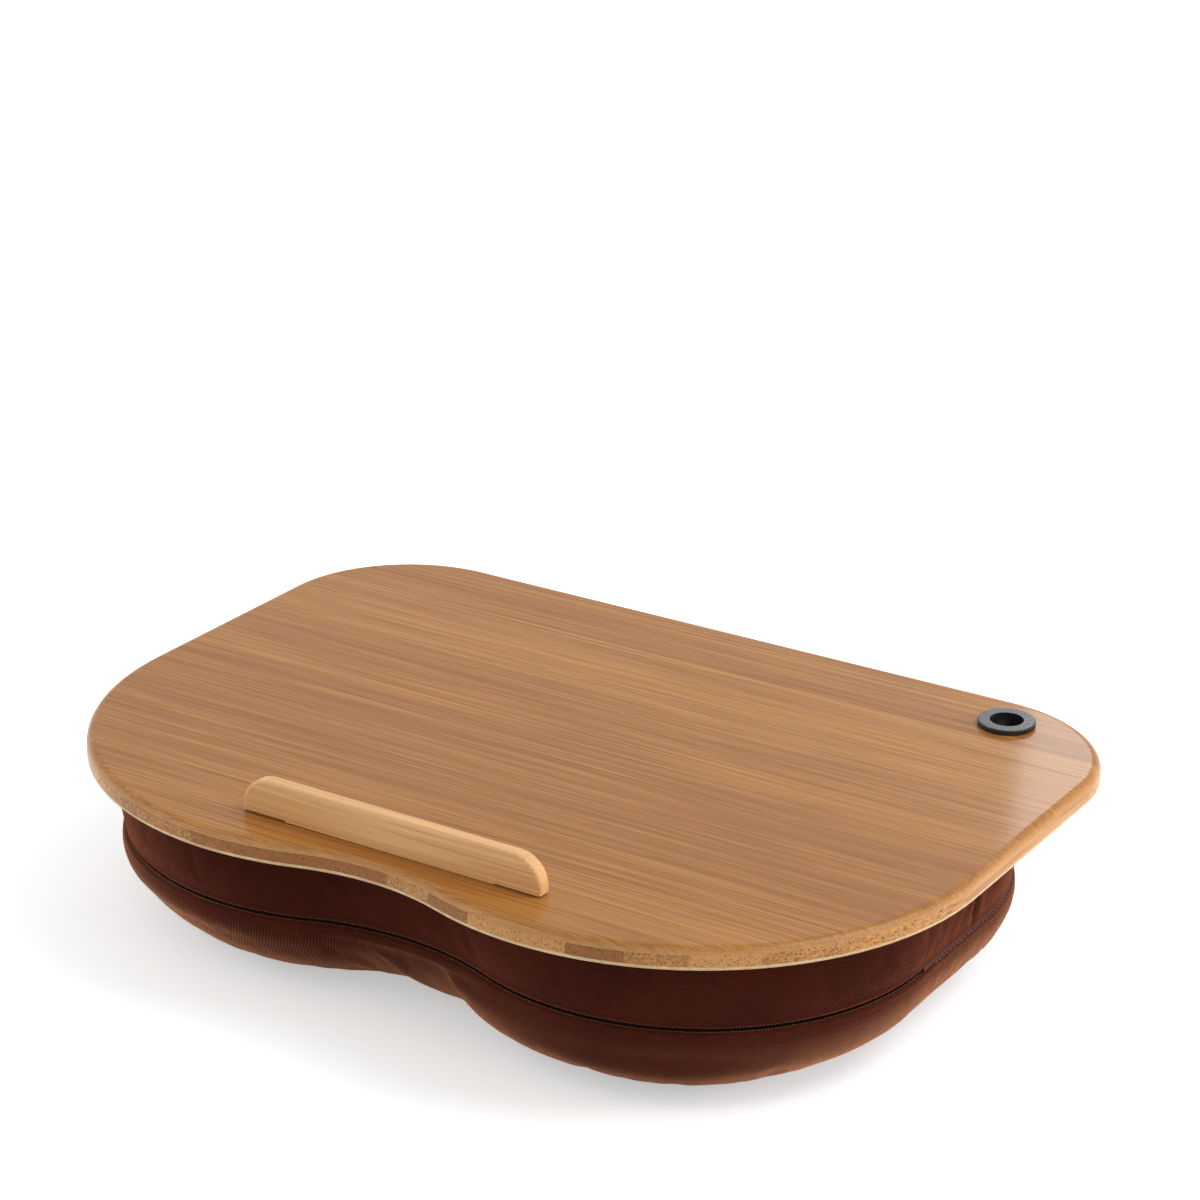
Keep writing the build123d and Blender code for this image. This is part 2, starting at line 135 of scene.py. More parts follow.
class Shader(Graph):
    """Builds one node material around a Principled shader."""

    def __init__(self, name: str) -> None:
        """Starts an empty material.

        Args:
            name: The material's name.
        """
        self.material = bpy.data.materials.new(name)
        self.material.use_nodes = True
        super().__init__(self.material.node_tree, "ShaderNode")
        self.tree.nodes.clear()
        self.surface = self.node("BsdfPrincipled", {})
        self.output = self.node("OutputMaterial", {0: self.surface.outputs[0]})

    def set(self, **values: object) -> None:
        """Sets inputs of the Principled shader.

        Args:
            **values: Values or sockets, by the inputs' names in small letters with underscores.
        """
        for name, value in values.items():
            title = name.replace("_", " ").title().replace("Ior", "IOR")
            self.feed(self.surface.inputs[title], value)

    def maths(self, operation: str, first: object, second: object = 0.0) -> Socket:
        """Adds one arithmetic node and returns its result."""
        return self.node("Math", {0: first, 1: second}, operation=operation).outputs[0]

    def plus(self, first: object, second: object) -> Socket:
        """Adds two numbers."""
        return self.maths("ADD", first, second)

    def minus(self, first: object, second: object) -> Socket:
        """Takes the second number from the first."""
        return self.maths("SUBTRACT", first, second)

    def times(self, first: object, second: object) -> Socket:
        """Multiplies two numbers."""
        return self.maths("MULTIPLY", first, second)

    def from_middle(self, value: object, size: float) -> Socket:
        """Returns how far a value lies from the middle of its unit step, with the step drawn to a size."""
        return self.times(self.maths("ABSOLUTE", self.minus(self.maths("FRACT", value), 0.5)), size)

    def where(self, place: Place) -> Socket:
        """Returns the coordinates of the point that is shaded, in metres."""
        return self.node("TexCoord", {}).outputs[place.value]

    def apart(self, vector: Socket) -> tuple[Socket, Socket, Socket]:
        """Takes a vector apart into X, Y and Z."""
        return tuple(self.node("SeparateXYZ", {0: vector}).outputs)

    def vector(self, x: object, y: object, z: object) -> Socket:
        """Joins three numbers into a vector."""
        return self.node("CombineXYZ", {0: x, 1: y, 2: z}).outputs[0]

    def noise(self, vector: Socket, scale: float, detail: float = 2.0, roughness: float = 0.5) -> Socket:
        """Adds a noise texture and returns its value."""
        inputs = {"Vector": vector, "Scale": scale, "Detail": detail, "Roughness": roughness}
        return self.node("TexNoise", inputs).outputs[0]

    def span(self, value: object, low: float, high: float, to_low: float = 0.0,
             to_high: float = 1.0) -> Socket:
        """Maps one range of a value onto another with soft ends.

        Args:
            value: The number to map.
            low: Start of the range that it comes from.
            high: End of the range that it comes from.
            to_low: What low becomes.
            to_high: What high becomes.

        Returns:
            The mapped number.
        """
        inputs = {0: value, 1: low, 2: high, 3: to_low, 4: to_high}
        return self.node("MapRange", inputs, interpolation_type="SMOOTHSTEP").outputs[0]

    def wave(self, value: Socket, pitch: float, low: float, high: float) -> Socket:
        """Returns a soft wave of that pitch in metres, between two levels."""
        return self.span(self.maths("SINE", self.times(value, TURN / pitch)), *SINE_RANGE, low, high)

    def blend(self, share: object, first: object, second: object) -> Socket:
        """Mixes two colours and returns the result."""
        return self.node("Mix", {0: share, 6: first, 7: second}, data_type="RGBA").outputs[2]

    def bump(self, height: Socket, depth: float, strength: float) -> None:
        """Gives the surface a relief of that depth in metres."""
        relief = self.node("Bump", {"Height": height, "Distance": depth, "Strength": strength})
        self.feed(self.surface.inputs["Normal"], relief.outputs[0])


class Grain(Enum):
    """The way that a bamboo layer's fibres run."""

    ACROSS = "x"
    FRONT_TO_REAR = "y"


@dataclass(frozen=True)
class Fibre:
    """One layer of noise in bamboo: features per metre along and across the fibres, and its share."""

    lengthways: float
    crossways: float
    share: float
    detail: float = 2.0
    roughness: float = 0.5


@dataclass(frozen=True)
class Bamboo:
    """Laminated bamboo: fibres, vascular bundles, joints between strips and culm nodes.

    A face may have a paler edge, mixed in more from the height of its top downwards.
    """

    name: str
    grain: Grain
    light: Colour
    dark: Colour
    bundle: Colour
    strip: float
    shift: float
    strip_contrast: float
    bundle_share: float
    fineness: float = 1.0
    paler_below: float = 0.0
    paler_depth: float = 2.4 * MM
    paler_share: float = 0.45
    paler_colour: Colour = paint(206, 162, 114)
    fibre: Fibre = Fibre(9.0, 620.0, 0.7, detail=3.0, roughness=0.62)
    hair: Fibre = Fibre(16.0, 1700.0, 1.0)
    cloud: Fibre = Fibre(3.0, 95.0, 0.4)
    streak: Fibre = Fibre(12.0, 1000.0, 0.3, detail=1.0)
    bundles: Fibre = Fibre(12.0, 820.0, 0.5)
    ridges: float = 0.6
    tone_range: Pair = (0.75, 1.4)
    streak_range: Pair = (0.57, 0.7)
    bundle_range: Pair = (0.14, 0.36)
    scatter: float = 0.85
    strip_offset: float = 3.7
    joint_line: Pair = (0.35 * MM, 0.05 * MM)
    joint_share: float = 0.12
    culm_pitch: float = 0.31
    culm_share: float = 0.08
    culm_offset: float = 9.1
    culm_lean: float = 0.35
    culm_line: Pair = (0.2 * MM, 0.7 * MM)
    culm_wobble: float = 8.0 * MM
    wobble_scale: float = 120.0
    rough: float = 0.5
    smooth: float = 0.38
    coat: float = 0.25
    coat_roughness: float = 0.09
    specular: float = 0.15
    relief: float = 0.05 * MM
    relief_strength: float = 0.6

    def material(self) -> bpy.types.Material:
        """Builds the node material.

        Returns:
            The material, patterned on object coordinates.
        """
        made = Shader(self.name)
        x, y, z = made.apart(made.where(Place.OBJECT))
        along, across = (x, y) if self.grain is Grain.ACROSS else (y, x)
        slot = made.maths("DIVIDE", made.minus(across, self.shift), self.strip)
        number = made.maths("FLOOR", slot)
        chance = made.node("TexWhiteNoise", {"W": number}, noise_dimensions="1D").outputs[0]
        offset = made.plus(along, made.times(chance, self.strip_offset))

        def drawn(layer: Fibre, fineness: float = 1.0) -> Socket:
            """Draws the coordinates out along the fibres.

            Args:
                layer: The layer that reads them.
                fineness: How many times finer it is across the fibres.

            Returns:
                The coordinates, in features.
            """
            crossways = layer.crossways * fineness
            return made.vector(made.times(offset, layer.lengthways), made.times(across, crossways),
                               made.times(z, crossways))

        def noise(layer: Fibre, fineness: float = 1.0) -> Socket:
            """Adds the noise of one layer and returns its value."""
            return made.noise(drawn(layer, fineness), 1.0, layer.detail, layer.roughness)

        fibre = noise(self.fibre, self.fineness)
        hair, cloud = noise(self.hair, self.fineness), noise(self.cloud)
        tone = made.times(made.minus(chance, 0.5), self.strip_contrast)
        for value, layer in ((fibre, self.fibre), (hair, self.hair), (cloud, self.cloud)):
            tone = made.plus(tone, made.times(value, layer.share))
        body = made.blend(made.span(tone, *self.tone_range), self.dark, self.light)
        streak = made.span(noise(self.streak, self.fineness), *self.streak_range, 0.0, self.streak.share)
        body = made.blend(streak, body, self.bundle)
        cells = {"Vector": drawn(self.bundles), "Scale": 1.0, "Randomness": self.scatter}
        distance = made.node("TexVoronoi", cells).outputs["Distance"]
        dots = made.span(distance, *self.bundle_range, self.bundle_share, 0.0)
        body = made.blend(dots, body, self.bundle)
        # Paler colour mixed into the edge, from the top's height downwards
        paler_from = self.paler_below - self.paler_depth
        edge = made.span(z, paler_from, self.paler_below, self.paler_share, 0.0)
        body = made.blend(edge, body, self.paler_colour)
        wobble = made.times(made.noise(made.vector(0.0, across, z), self.wobble_scale), self.culm_wobble)
        lean = made.plus(made.plus(along, wobble), made.times(made.plus(across, z), self.culm_lean))
        culm = made.plus(made.maths("DIVIDE", lean, self.culm_pitch), made.times(chance, self.culm_offset))
        away = made.from_middle(culm, self.culm_pitch)
        body = made.blend(made.span(away, *self.culm_line, self.culm_share, 0.0), body, self.bundle)
        outer, inner = (self.strip / 2 - width for width in self.joint_line)
        joint = made.span(made.from_middle(slot, self.strip), outer, inner, 0.0, self.joint_share)
        body = made.blend(joint, body, self.bundle)
        made.set(base_color=body, coat_weight=self.coat, coat_roughness=self.coat_roughness,
                 specular_ior_level=self.specular,
                 roughness=made.span(fibre, *NOISE_RANGE, self.rough, self.smooth))
        pores = made.times(dots, self.bundles.share)
        ridges = made.times(fibre, self.ridges)
        made.bump(made.minus(ridges, pores), self.relief, self.relief_strength)
        return made.material


@dataclass(frozen=True)
class Twill:
    """Dense polyester twill, with diagonal ribs that follow the cloth's own coordinates."""

    name: str
    valley: Colour
    rib: Colour
    haze: Colour
    rim: Colour
    lean: float = 0.7
    rim_width: float = 0.3
    pitch: float = 1.25 * MM
    thread: float = 0.42 * MM
    skew: float = 0.5
    skew_scale: float = 220.0
    rib_range: Pair = (-0.8, 0.9)
    rib_share: float = 0.8
    yarn_dip: float = 0.6
    pick_dip: float = 0.75
    slub_scale: float = 900.0
    slub_stretch: float = 0.2
    slub_share: float = 0.5
    shade_range: Pair = (0.15, 1.1)
    haze_scale: float = 24.0
    haze_range: Pair = (0.35, 0.8)
    haze_share: float = 0.22
    roughness: float = 0.85
    specular: float = 0.08
    relief: float = 0.12 * MM
    relief_strength: float = 0.8

    def material(self) -> bpy.types.Material:
        """Builds the node material.

        Returns:
            The material, patterned on the piece's UV map.
        """
        made = Shader(self.name)
        cloth = made.where(Place.CLOTH)
        u, v, _ = made.apart(cloth)
        skew = made.times(made.minus(made.noise(cloth, self.skew_scale, 1.0), 0.5), self.skew)
        diagonal = made.plus(made.times(u, TURN / self.pitch), made.times(v, TURN * self.lean / self.pitch))
        rib = made.span(made.maths("SINE", made.plus(diagonal, skew)), *self.rib_range)
        yarn = made.wave(v, self.thread, self.yarn_dip, 1.0)
        pick = made.wave(u, self.thread, self.pick_dip, 1.0)
        height = made.times(rib, made.times(yarn, pick))
        slub = made.noise(made.vector(made.times(u, self.slub_stretch), v, 0.0), self.slub_scale)
        shade = made.plus(made.times(height, self.rib_share), made.times(slub, self.slub_share))
        colour = made.blend(made.span(shade, *self.shade_range), self.valley, self.rib)
        cloud = made.noise(cloth, self.haze_scale, 3.0)
        colour = made.blend(made.span(cloud, *self.haze_range, 0.0, self.haze_share), colour, self.haze)
        made.set(base_color=colour, roughness=self.roughness, specular_ior_level=self.specular,
                 sheen_weight=1.0, sheen_roughness=self.rim_width, sheen_tint=self.rim)
        made.bump(height, self.relief, self.relief_strength)
        return made.material


@dataclass(frozen=True)
class Moulded:
    """Moulded plastic or coated metal with a faint uneven surface."""

    name: str
    colour: Colour
    worn: Colour
    roughness: float
    metallic: float = 0.0
    gloss: float = 0.5
    smoother: float = 0.05
    rougher: float = 0.07
    texture: float = 900.0
    patches: float = 75.0
    worn_range: Pair = (0.4, 0.75)
    relief: float = 0.03 * MM
    relief_strength: float = 0.6

    def material(self) -> bpy.types.Material:
        """Builds the node material.

        Returns:
            The material, patterned on object coordinates.
        """
        made = Shader(self.name)
        at = made.where(Place.OBJECT)
        fine = made.noise(at, self.texture, 3.0)
        worn = made.span(made.noise(at, self.patches), *self.worn_range)
        smooth, rough = self.roughness - self.smoother, self.roughness + self.rougher
        made.set(base_color=made.blend(worn, self.colour, self.worn), metallic=self.metallic,
                 specular_ior_level=self.gloss, roughness=made.span(fine, *NOISE_RANGE, smooth, rough))
        made.bump(fine, self.relief, self.relief_strength)
        return made.material


@dataclass(frozen=True)
class Yarn:
    """Spun thread or woven tape with fine ridges along one direction."""

    name: str
    colour: Colour
    light: Colour
    twist: float = 2200.0
    row: float = 0.5 * MM
    row_share: float = 0.5
    shade_range: Pair = (0.4, 1.1)
    roughness: float = 0.8
    specular: float = 0.25
    sheen: float = 0.15
    relief: float = 0.08 * MM
    relief_strength: float = 0.7

    def material(self) -> bpy.types.Material:
        """Builds the node material.

        Returns:
            The material, patterned on object coordinates.
        """
        made = Shader(self.name)
        at = made.where(Place.OBJECT)
        _, _, z = made.apart(at)
        height = made.plus(made.noise(at, self.twist), made.wave(z, self.row, 0.0, self.row_share))
        colour = made.blend(made.span(height, *self.shade_range), self.colour, self.light)
        made.set(base_color=colour, roughness=self.roughness, specular_ior_level=self.specular,
                 sheen_weight=self.sheen)
        made.bump(height, self.relief, self.relief_strength)
        return made.material


@dataclass(frozen=True)
class Finishes:
    """Every finish of the tray and cushion, by the piece that wears it."""

    face: Bamboo = Bamboo(
        "bamboo_face", Grain.ACROSS, paint(186, 129, 62), paint(147, 92, 37), paint(112, 66, 28),
        strip=24.0 * MM, shift=3.0 * MM, strip_contrast=0.2, bundle_share=0.25, paler_below=75.4 * MM)
    base: Bamboo = Bamboo(
        "bamboo_base", Grain.ACROSS, paint(226, 200, 158), paint(204, 170, 120), paint(166, 122, 76),
        strip=24.0 * MM, shift=9.0 * MM, strip_contrast=0.2, bundle_share=0.25)
    core: Bamboo = Bamboo(
        "bamboo_core", Grain.FRONT_TO_REAR, paint(202, 146, 86), paint(150, 96, 48), paint(88, 50, 24),
        strip=20.7 * MM, shift=7.1 * MM, strip_contrast=0.9, bundle_share=0.7)
    stop: Bamboo = Bamboo(
        "bamboo_stop", Grain.ACROSS, paint(240, 191, 136), paint(212, 161, 105), paint(168, 116, 64),
        strip=60.0 * MM, shift=20.0 * MM, strip_contrast=0.0, bundle_share=0.22, fineness=1.8,
        culm_pitch=0.4, culm_share=0.3)
    band: Twill = Twill(
        "cover_band_twill", paint(34, 9, 5), paint(84, 31, 17), paint(96, 40, 24), paint(224, 132, 92))
    # The lower panel is the band's own cloth painted lighter (valley, rib and haze), as painted light from
    # the floor below; its brighter sheen tint does the same
    lower: Twill = Twill(
        "cover_lower_twill", paint(36, 10, 6), paint(92, 35, 20), paint(104, 45, 27), paint(255, 176, 130),
        lean=-0.7, rim_width=0.34)
    strip_thread: Yarn = Yarn("strip_thread", paint(30, 24, 24), paint(70, 60, 58))
    thread: Yarn = Yarn("cover_thread", paint(96, 48, 36), paint(150, 96, 74))
    seam: Yarn = Yarn("rear_seam_weave", paint(34, 9, 5), paint(84, 31, 17))
    tape: Yarn = Yarn("zipper_tape_weave", paint(20, 13, 12), paint(40, 27, 25))
    pile: Yarn = Yarn("hook_and_loop_pile", paint(24, 20, 20), paint(60, 52, 50))
    coil: Moulded = Moulded(
        "zipper_coil_nylon", paint(16, 8, 7), paint(34, 17, 13), roughness=0.75, gloss=0.12)
    metal: Moulded = Moulded(
        "zipper_metal_coating", paint(34, 30, 30), paint(74, 68, 66), roughness=0.34, metallic=0.7)
    grommet: Moulded = Moulded(
        "grommet_plastic_skin", paint(24, 26, 29), paint(38, 40, 44), roughness=0.3)


@dataclass(frozen=True)
class Outline:
    """A plan outline with two front lobes and a waist between them, the same on both sides."""

    half: float
    front: float
    rear: float
    lobe: float
    waist: float
    rear_radius: float

    @property
    def lobe_radius(self) -> float:
        """Radius of the arc from each lobe round to the side."""
        return self.half - self.lobe

    @property
    def corner_y(self) -> float:
        """Y of the front arcs' centres."""
        return self.front + self.lobe_radius

    @property
    def waist_radius(self) -> float:
        """Radius of the hollow arc between the lobes."""
        return (self.lobe**2 + self.waist**2) / (2 * self.waist) - self.lobe_radius

    @property
    def waist_turn(self) -> float:
        """Half of the hollow arc's angle, in radians."""
        return math.atan2(self.lobe, self.lobe_radius + self.waist_radius - self.waist)

    def lengths(self) -> list[float]:
        """Measures the five stretches of the right half.

        Returns:
            Their lengths, from front to rear.
        """
        return [
            self.waist_radius * self.waist_turn,
            self.lobe_radius * (math.pi / 2 + self.waist_turn),
            self.rear - self.rear_radius - self.corner_y,
            self.rear_radius * math.pi / 2,
            self.half - self.rear_radius,
        ]

    def spot(self, stretch: int, share: float) -> tuple[float, float, float, float]:
        """Finds one point of the right half.

        Args:
            stretch: The stretch's number, from 0 at the waist to 4 at the rear.
            share: How far along the stretch, 0 to 1.

        Returns:
            X and Y of the point, and X and Y of its outward normal.
        """
        if stretch == 0:
            angle = math.pi / 2 - self.waist_turn * share
            reach = self.waist_radius
            x, y = math.cos(angle), math.sin(angle)
            return reach * x, self.front + self.waist - reach + reach * y, -x, -y
        if stretch == 1:
            angle = -(math.pi / 2 + self.waist_turn) * (1 - share)
            reach = self.lobe_radius
            x, y = math.cos(angle), math.sin(angle)
            return self.lobe + reach * x, self.corner_y + reach * y, x, y
        if stretch == 2:
            rear_y = self.rear - self.rear_radius
            return self.half, self.corner_y + (rear_y - self.corner_y) * share, 1.0, 0.0
        if stretch == 3:
            x, y = math.cos(math.pi / 2 * share), math.sin(math.pi / 2 * share)
            corner = self.half - self.rear_radius, self.rear - self.rear_radius
            return corner[0] + self.rear_radius * x, corner[1] + self.rear_radius * y, x, y
        return (self.half - self.rear_radius) * (1 - share), self.rear, 0.0, 1.0


@dataclass(frozen=True)
class Walk:
    """Stations round an outline, from the front centre by the right side, the rear and the left.

    Each spot is a stretch's number, a share of its length, and 1 for the right half or -1 for the left.
    """

    spots: tuple[tuple[int, float, int], ...]
    along: np.ndarray

    @classmethod
    def around(cls, outline: Outline, step: float) -> "Walk":
        """Spreads stations evenly round an outline.

        Args:
            outline: The outline to walk.
            step: The wanted distance between stations.

        Returns:
            The stations, with the distance of each from the front centre.
        """
        right: list[tuple[int, float, float]] = []
        start = 0.0
        for number, length in enumerate(outline.lengths()):
            count = max(2, round(length / step))
            right += [(number, i / count, start + length * i / count) for i in range(count)]
            start += length
        turn = (4, 1.0, start)
        left = [(number, share, 2 * start - along) for number, share, along in reversed(right[1:])]
        spots = [(n, s, 1) for n, s, _ in [*right, turn]] + [(n, s, -1) for n, s, _ in left]
        along = [a for _, _, a in [*right, turn, *left]]
        return cls(tuple(spots), np.array(along))

    def edge(self, outline: Outline) -> tuple[np.ndarray, np.ndarray]:
        """Places the stations on an outline.

        Args:
            outline: The outline, which may be a changed copy of the one walked.

        Returns:
            Points and outward normals, each as rows of X and Y.
        """
        rows = np.array([outline.spot(n, s) for n, s, _ in self.spots])
        sides = np.array([side for _, _, side in self.spots])
        rows[:, 0] *= sides
        rows[:, 2] *= sides
        return rows[:, :2], rows[:, 2:]


def soft_step(value: np.ndarray) -> np.ndarray:
    """Clips values to between 0 and 1, with a soft start and end."""
    share = np.clip(value, 0, 1)
    return share * share * (3 - 2 * share)


def bell(away: np.ndarray, width: np.ndarray | float) -> np.ndarray:
    """Returns a bell curve of a distance, 1 at its middle."""
    return np.exp(-((away / width) ** 2))


def rings(rim: np.ndarray, centre: np.ndarray, shares: Iterable[float]) -> list[np.ndarray]:
    """Returns copies of a rim, drawn in towards a centre to each share of its size."""
    return [centre + (rim - centre) * share for share in shares]


def tube_faces(count: int, levels: int, start: int = 0) -> list[Face]:
    """Joins rings of points into an open tube.

    Args:
        count: Points in each ring.
        levels: Number of rings.
        start: Number of the first ring's first point.

    Returns:
        The faces.
    """
    faces = []
    for low in range(start, start + (levels - 1) * count, count):
        high = low + count
        faces += [(low + k, low + (k + 1) % count, high + (k + 1) % count, high + k) for k in range(count)]
    return faces


def closed_tube_faces(count: int, levels: int) -> list[Face]:
    """Joins rings of points into a tube with a face at each end.

    Args:
        count: Points in each ring.
        levels: Number of rings.

    Returns:
        The faces.
    """
    total = count * levels
    ends = [tuple(reversed(range(count))), tuple(range(total - count, total))]
    return tube_faces(count, levels) + ends


def plain_mesh(name: str, points: Iterable[Sequence[float]], faces: Iterable[Face],
               edges: Sequence[tuple[int, int]] = ()) -> bpy.types.Mesh:
    """Makes a mesh without any finish.

    Args:
        name: The mesh's name.
        points: Its vertices, as X, Y and Z.
        faces: Vertex numbers of each face, outward.
        edges: Vertex numbers of edges that have no face.

    Returns:
        The mesh.
    """
    mesh = bpy.data.meshes.new(name)
    mesh.from_pydata([tuple(p) for p in points], list(edges), list(faces))
    return mesh


def linked(name: str, data: bpy.types.ID) -> bpy.types.Object:
    """Puts a new object with its data into the scene.

    Args:
        name: The object's name.
        data: Its mesh, lamp or camera.

    Returns:
        The object.
    """
    made = bpy.data.objects.new(name, data)
    bpy.context.scene.collection.objects.link(made)
    return made


def mesh_object(name: str, points: Iterable[Sequence[float]], faces: Iterable[Face],
                corners: Sequence[Profile] | None = None) -> bpy.types.Object:
    """Makes a smooth-shaded mesh object at the origin.

    Args:
        name: The object's name.
        points: Its vertices, as X, Y and Z.
        faces: Vertex numbers of each face, outward.
        corners: UV of each face's corners.

    Returns:
        The linked object.
    """
    mesh = plain_mesh(name, points, faces)
    if corners is not None:
        spots = np.array([spot for face in corners for spot in face], np.float32)
        mesh.uv_layers.new(name="cloth").uv.foreach_set("vector", spots.ravel())
    mesh.shade_smooth()
    mesh.update()
    return linked(name, mesh)


def thicken(piece: bpy.types.Object, depth: float) -> bpy.types.Object:
    """Gives a cloth surface its thickness, inwards.

    Args:
        piece: The surface.
        depth: The cloth's thickness.

    Returns:
        The same piece.
    """
    shell = piece.modifiers.new("thickness", "SOLIDIFY")
    shell.thickness = depth
    shell.offset = -1.0
    shell.use_even_offset = False
    return piece


def wear(piece: bpy.types.Object, material: bpy.types.Material) -> None:
    """Puts one material on a whole piece."""
    piece.data.materials.clear()
    piece.data.materials.append(material)


class Sheet:
    """A surface of cloth from a grid of points, with UV in metres along the cloth."""

    CAP_MARGIN: float = 2.0 * MM

    def __init__(self, grid: np.ndarray, along: np.ndarray, down: np.ndarray,
                 perimeter: float | None = None) -> None:
        """Joins the points of a grid into faces.

        Args:
            grid: Points as rows from top to bottom, columns anticlockwise seen from above.
            along: Distance of each column along the cloth.
            down: Distance of each row along the cloth.
            perimeter: The distance at which a closed sheet meets its start, or None for an open one.
        """
        rows, self.columns = grid.shape[:2]
        self.closed = perimeter is not None
        self.down = down
        self.steps = list(zip(along, [*along[1:], perimeter] if self.closed else along[1:]))
        self.points = [tuple(p) for p in grid.reshape(-1, 3)]
        self.faces: list[Face] = []
        self.corners: list[Profile] = []
        for r in range(rows - 1):
            high, low = r * self.columns, (r + 1) * self.columns
            for c, (here, ahead) in enumerate(self.steps):
                n = (c + 1) % self.columns
                self.faces.append((high + c, low + c, low + n, high + n))
                self.corners.append(((here, -down[r]), (here, -down[r + 1]), (ahead, -down[r + 1]),
                                     (ahead, -down[r])))

    def cap(self, centre: np.ndarray, first: bool) -> None:
        """Closes the first or the last row of a closed sheet with triangles round one point.

        Args:
            centre: The point in the middle.
            first: Whether the first row is closed, not the last.
        """
        row = 0 if first else len(self.points) - self.columns
        level = -self.down[0 if first else -1]
        middle = len(self.points)
        self.points.append(tuple(centre))
        for c, (here, ahead) in enumerate(self.steps):
            face = row + c, middle, row + (c + 1) % self.columns
            corners = (here, level), ((here + ahead) / 2, level - self.CAP_MARGIN), (ahead, level)
            order = (0, 2, 1) if first else (0, 1, 2)
            self.faces.append(tuple(face[i] for i in order))
            self.corners.append(tuple(corners[i] for i in order))

    def lay_flat(self) -> None:
        """Takes the UV from above, for a sheet that lies nearly flat."""
        self.corners = [tuple(self.points[i][:2] for i in face) for face in self.faces]

    def piece(self, name: str) -> bpy.types.Object:
        """Makes the sheet an object, with sharp edges where an open sheet ends.

        Args:
            name: The object's name.

        Returns:
            The linked object.
        """
        made = mesh_object(name, self.points, self.faces, self.corners)
        if not self.closed:
            ends = {0}, {self.columns - 1}
            for edge in made.data.edges:
                edge.use_edge_sharp = {vertex % self.columns for vertex in edge.vertices} in ends
        return made


class Tree(Graph):
    """A Geometry Nodes tree with named inputs, run on one object at a time."""

    def __init__(self, name: str, inputs: dict[str, str]) -> None:
        """Starts the tree and its interface.

        Args:
            name: The tree's name.
            inputs: Socket kind of each named input.
        """
        super().__init__(bpy.data.node_groups.new(name, "GeometryNodeTree"))
        face = self.tree.interface
        face.new_socket("Geometry", in_out="INPUT", socket_type="NodeSocketGeometry")
        self.inputs = {key: face.new_socket(key, in_out="INPUT", socket_type="NodeSocket" + kind).identifier
                       for key, kind in inputs.items()}
        face.new_socket("Geometry", in_out="OUTPUT", socket_type="NodeSocketGeometry")
        self.source = self.node("NodeGroupInput", {})

    def end(self, geometry: Socket) -> None:
        """Realizes the instances, sets the material and closes the tree.

        Args:
            geometry: The last geometry of the tree.
        """
        solid = self.node("GeometryNodeRealizeInstances", {0: geometry})
        material = {0: solid.outputs[0], "Material": self.source.outputs["Material"]}
        dressed = self.node("GeometryNodeSetMaterial", material)
        self.node("NodeGroupOutput", {0: dressed.outputs[0]})

    def run(self, carrier: bpy.types.Object, name: str, material: bpy.types.Material,
            **values: object) -> bpy.types.Object:
        """Runs the tree on an object and keeps only the plain mesh that it makes.

        Args:
            carrier: The object that the tree reads, which is removed.
            name: The new piece's name.
            material: What the piece wears.
            **values: Values for the named inputs.

        Returns:
            The piece, at the origin.
        """
        rule = carrier.modifiers.new("rule", "NODES")
        rule.node_group = self.tree
        for key, value in {**values, "Material": material}.items():
            rule[self.inputs[key]] = value
        bpy.context.view_layer.update()
        mesh = bpy.data.meshes.new_from_object(carrier.evaluated_get(bpy.context.evaluated_depsgraph_get()))
        mesh.name = name
        carrier.modifiers.clear()
        bpy.data.objects.remove(carrier)
        mesh.materials.clear()
        mesh.materials.append(material)
        mesh.shade_smooth()
        return linked(name, mesh)


class RowTree(Tree):
    """Repeats one unit at even steps along paths, X along the path and Z outwards."""

    def __init__(self) -> None:
        """Builds the tree."""
        super().__init__("row_along_path", {"Pitch": "Float", "Unit": "Object", "Material": "Material"})
        put = self.source.outputs
        path = self.node("GeometryNodeMeshToCurve", {0: put["Geometry"]})
        spread = {0: path.outputs[0], "Length": put["Pitch"]}
        points = self.node("GeometryNodeCurveToPoints", spread, mode="LENGTH")
        named = {"Name": "outward"}
        outward = self.node("GeometryNodeInputNamedAttribute", named, data_type="FLOAT_VECTOR")
        axes = {0: points.outputs["Tangent"], 1: outward.outputs["Attribute"]}
        turn = self.node("FunctionNodeAxesToRotation", axes, primary_axis="X", secondary_axis="Z")
        unit = self.node("GeometryNodeObjectInfo", {0: put["Unit"]})
        row = self.node("GeometryNodeInstanceOnPoints", {
            0: points.outputs[0], "Instance": unit.outputs["Geometry"], "Rotation": turn.outputs[0]})
        self.end(row.outputs[0])

    def along(self, name: str, paths: Sequence[tuple[np.ndarray, np.ndarray]], pitch: float,
              unit: bpy.types.Object, material: bpy.types.Material) -> bpy.types.Object:
        """Sets the unit along paths.

        Args:
            name: The new piece's name.
            paths: Points and outward normals of each path.
            pitch: Distance between units.
            unit: The object to repeat.
            material: What the row wears.

        Returns:
            The piece, at the origin.
        """
        edges: list[tuple[int, int]] = []
        start = 0
        for path, _ in paths:
            edges += [(i, i + 1) for i in range(start, start + len(path) - 1)]
            start += len(path)
        mesh = plain_mesh(name + "_path", (p for path, _ in paths for p in path), [], edges)
        normals = np.concatenate([n for _, n in paths])
        attribute = mesh.attributes.new("outward", "FLOAT_VECTOR", "POINT")
        attribute.data.foreach_set("vector", normals.astype(np.float32).ravel())
        return self.run(linked(mesh.name, mesh), name, material, Pitch=pitch, Unit=unit)


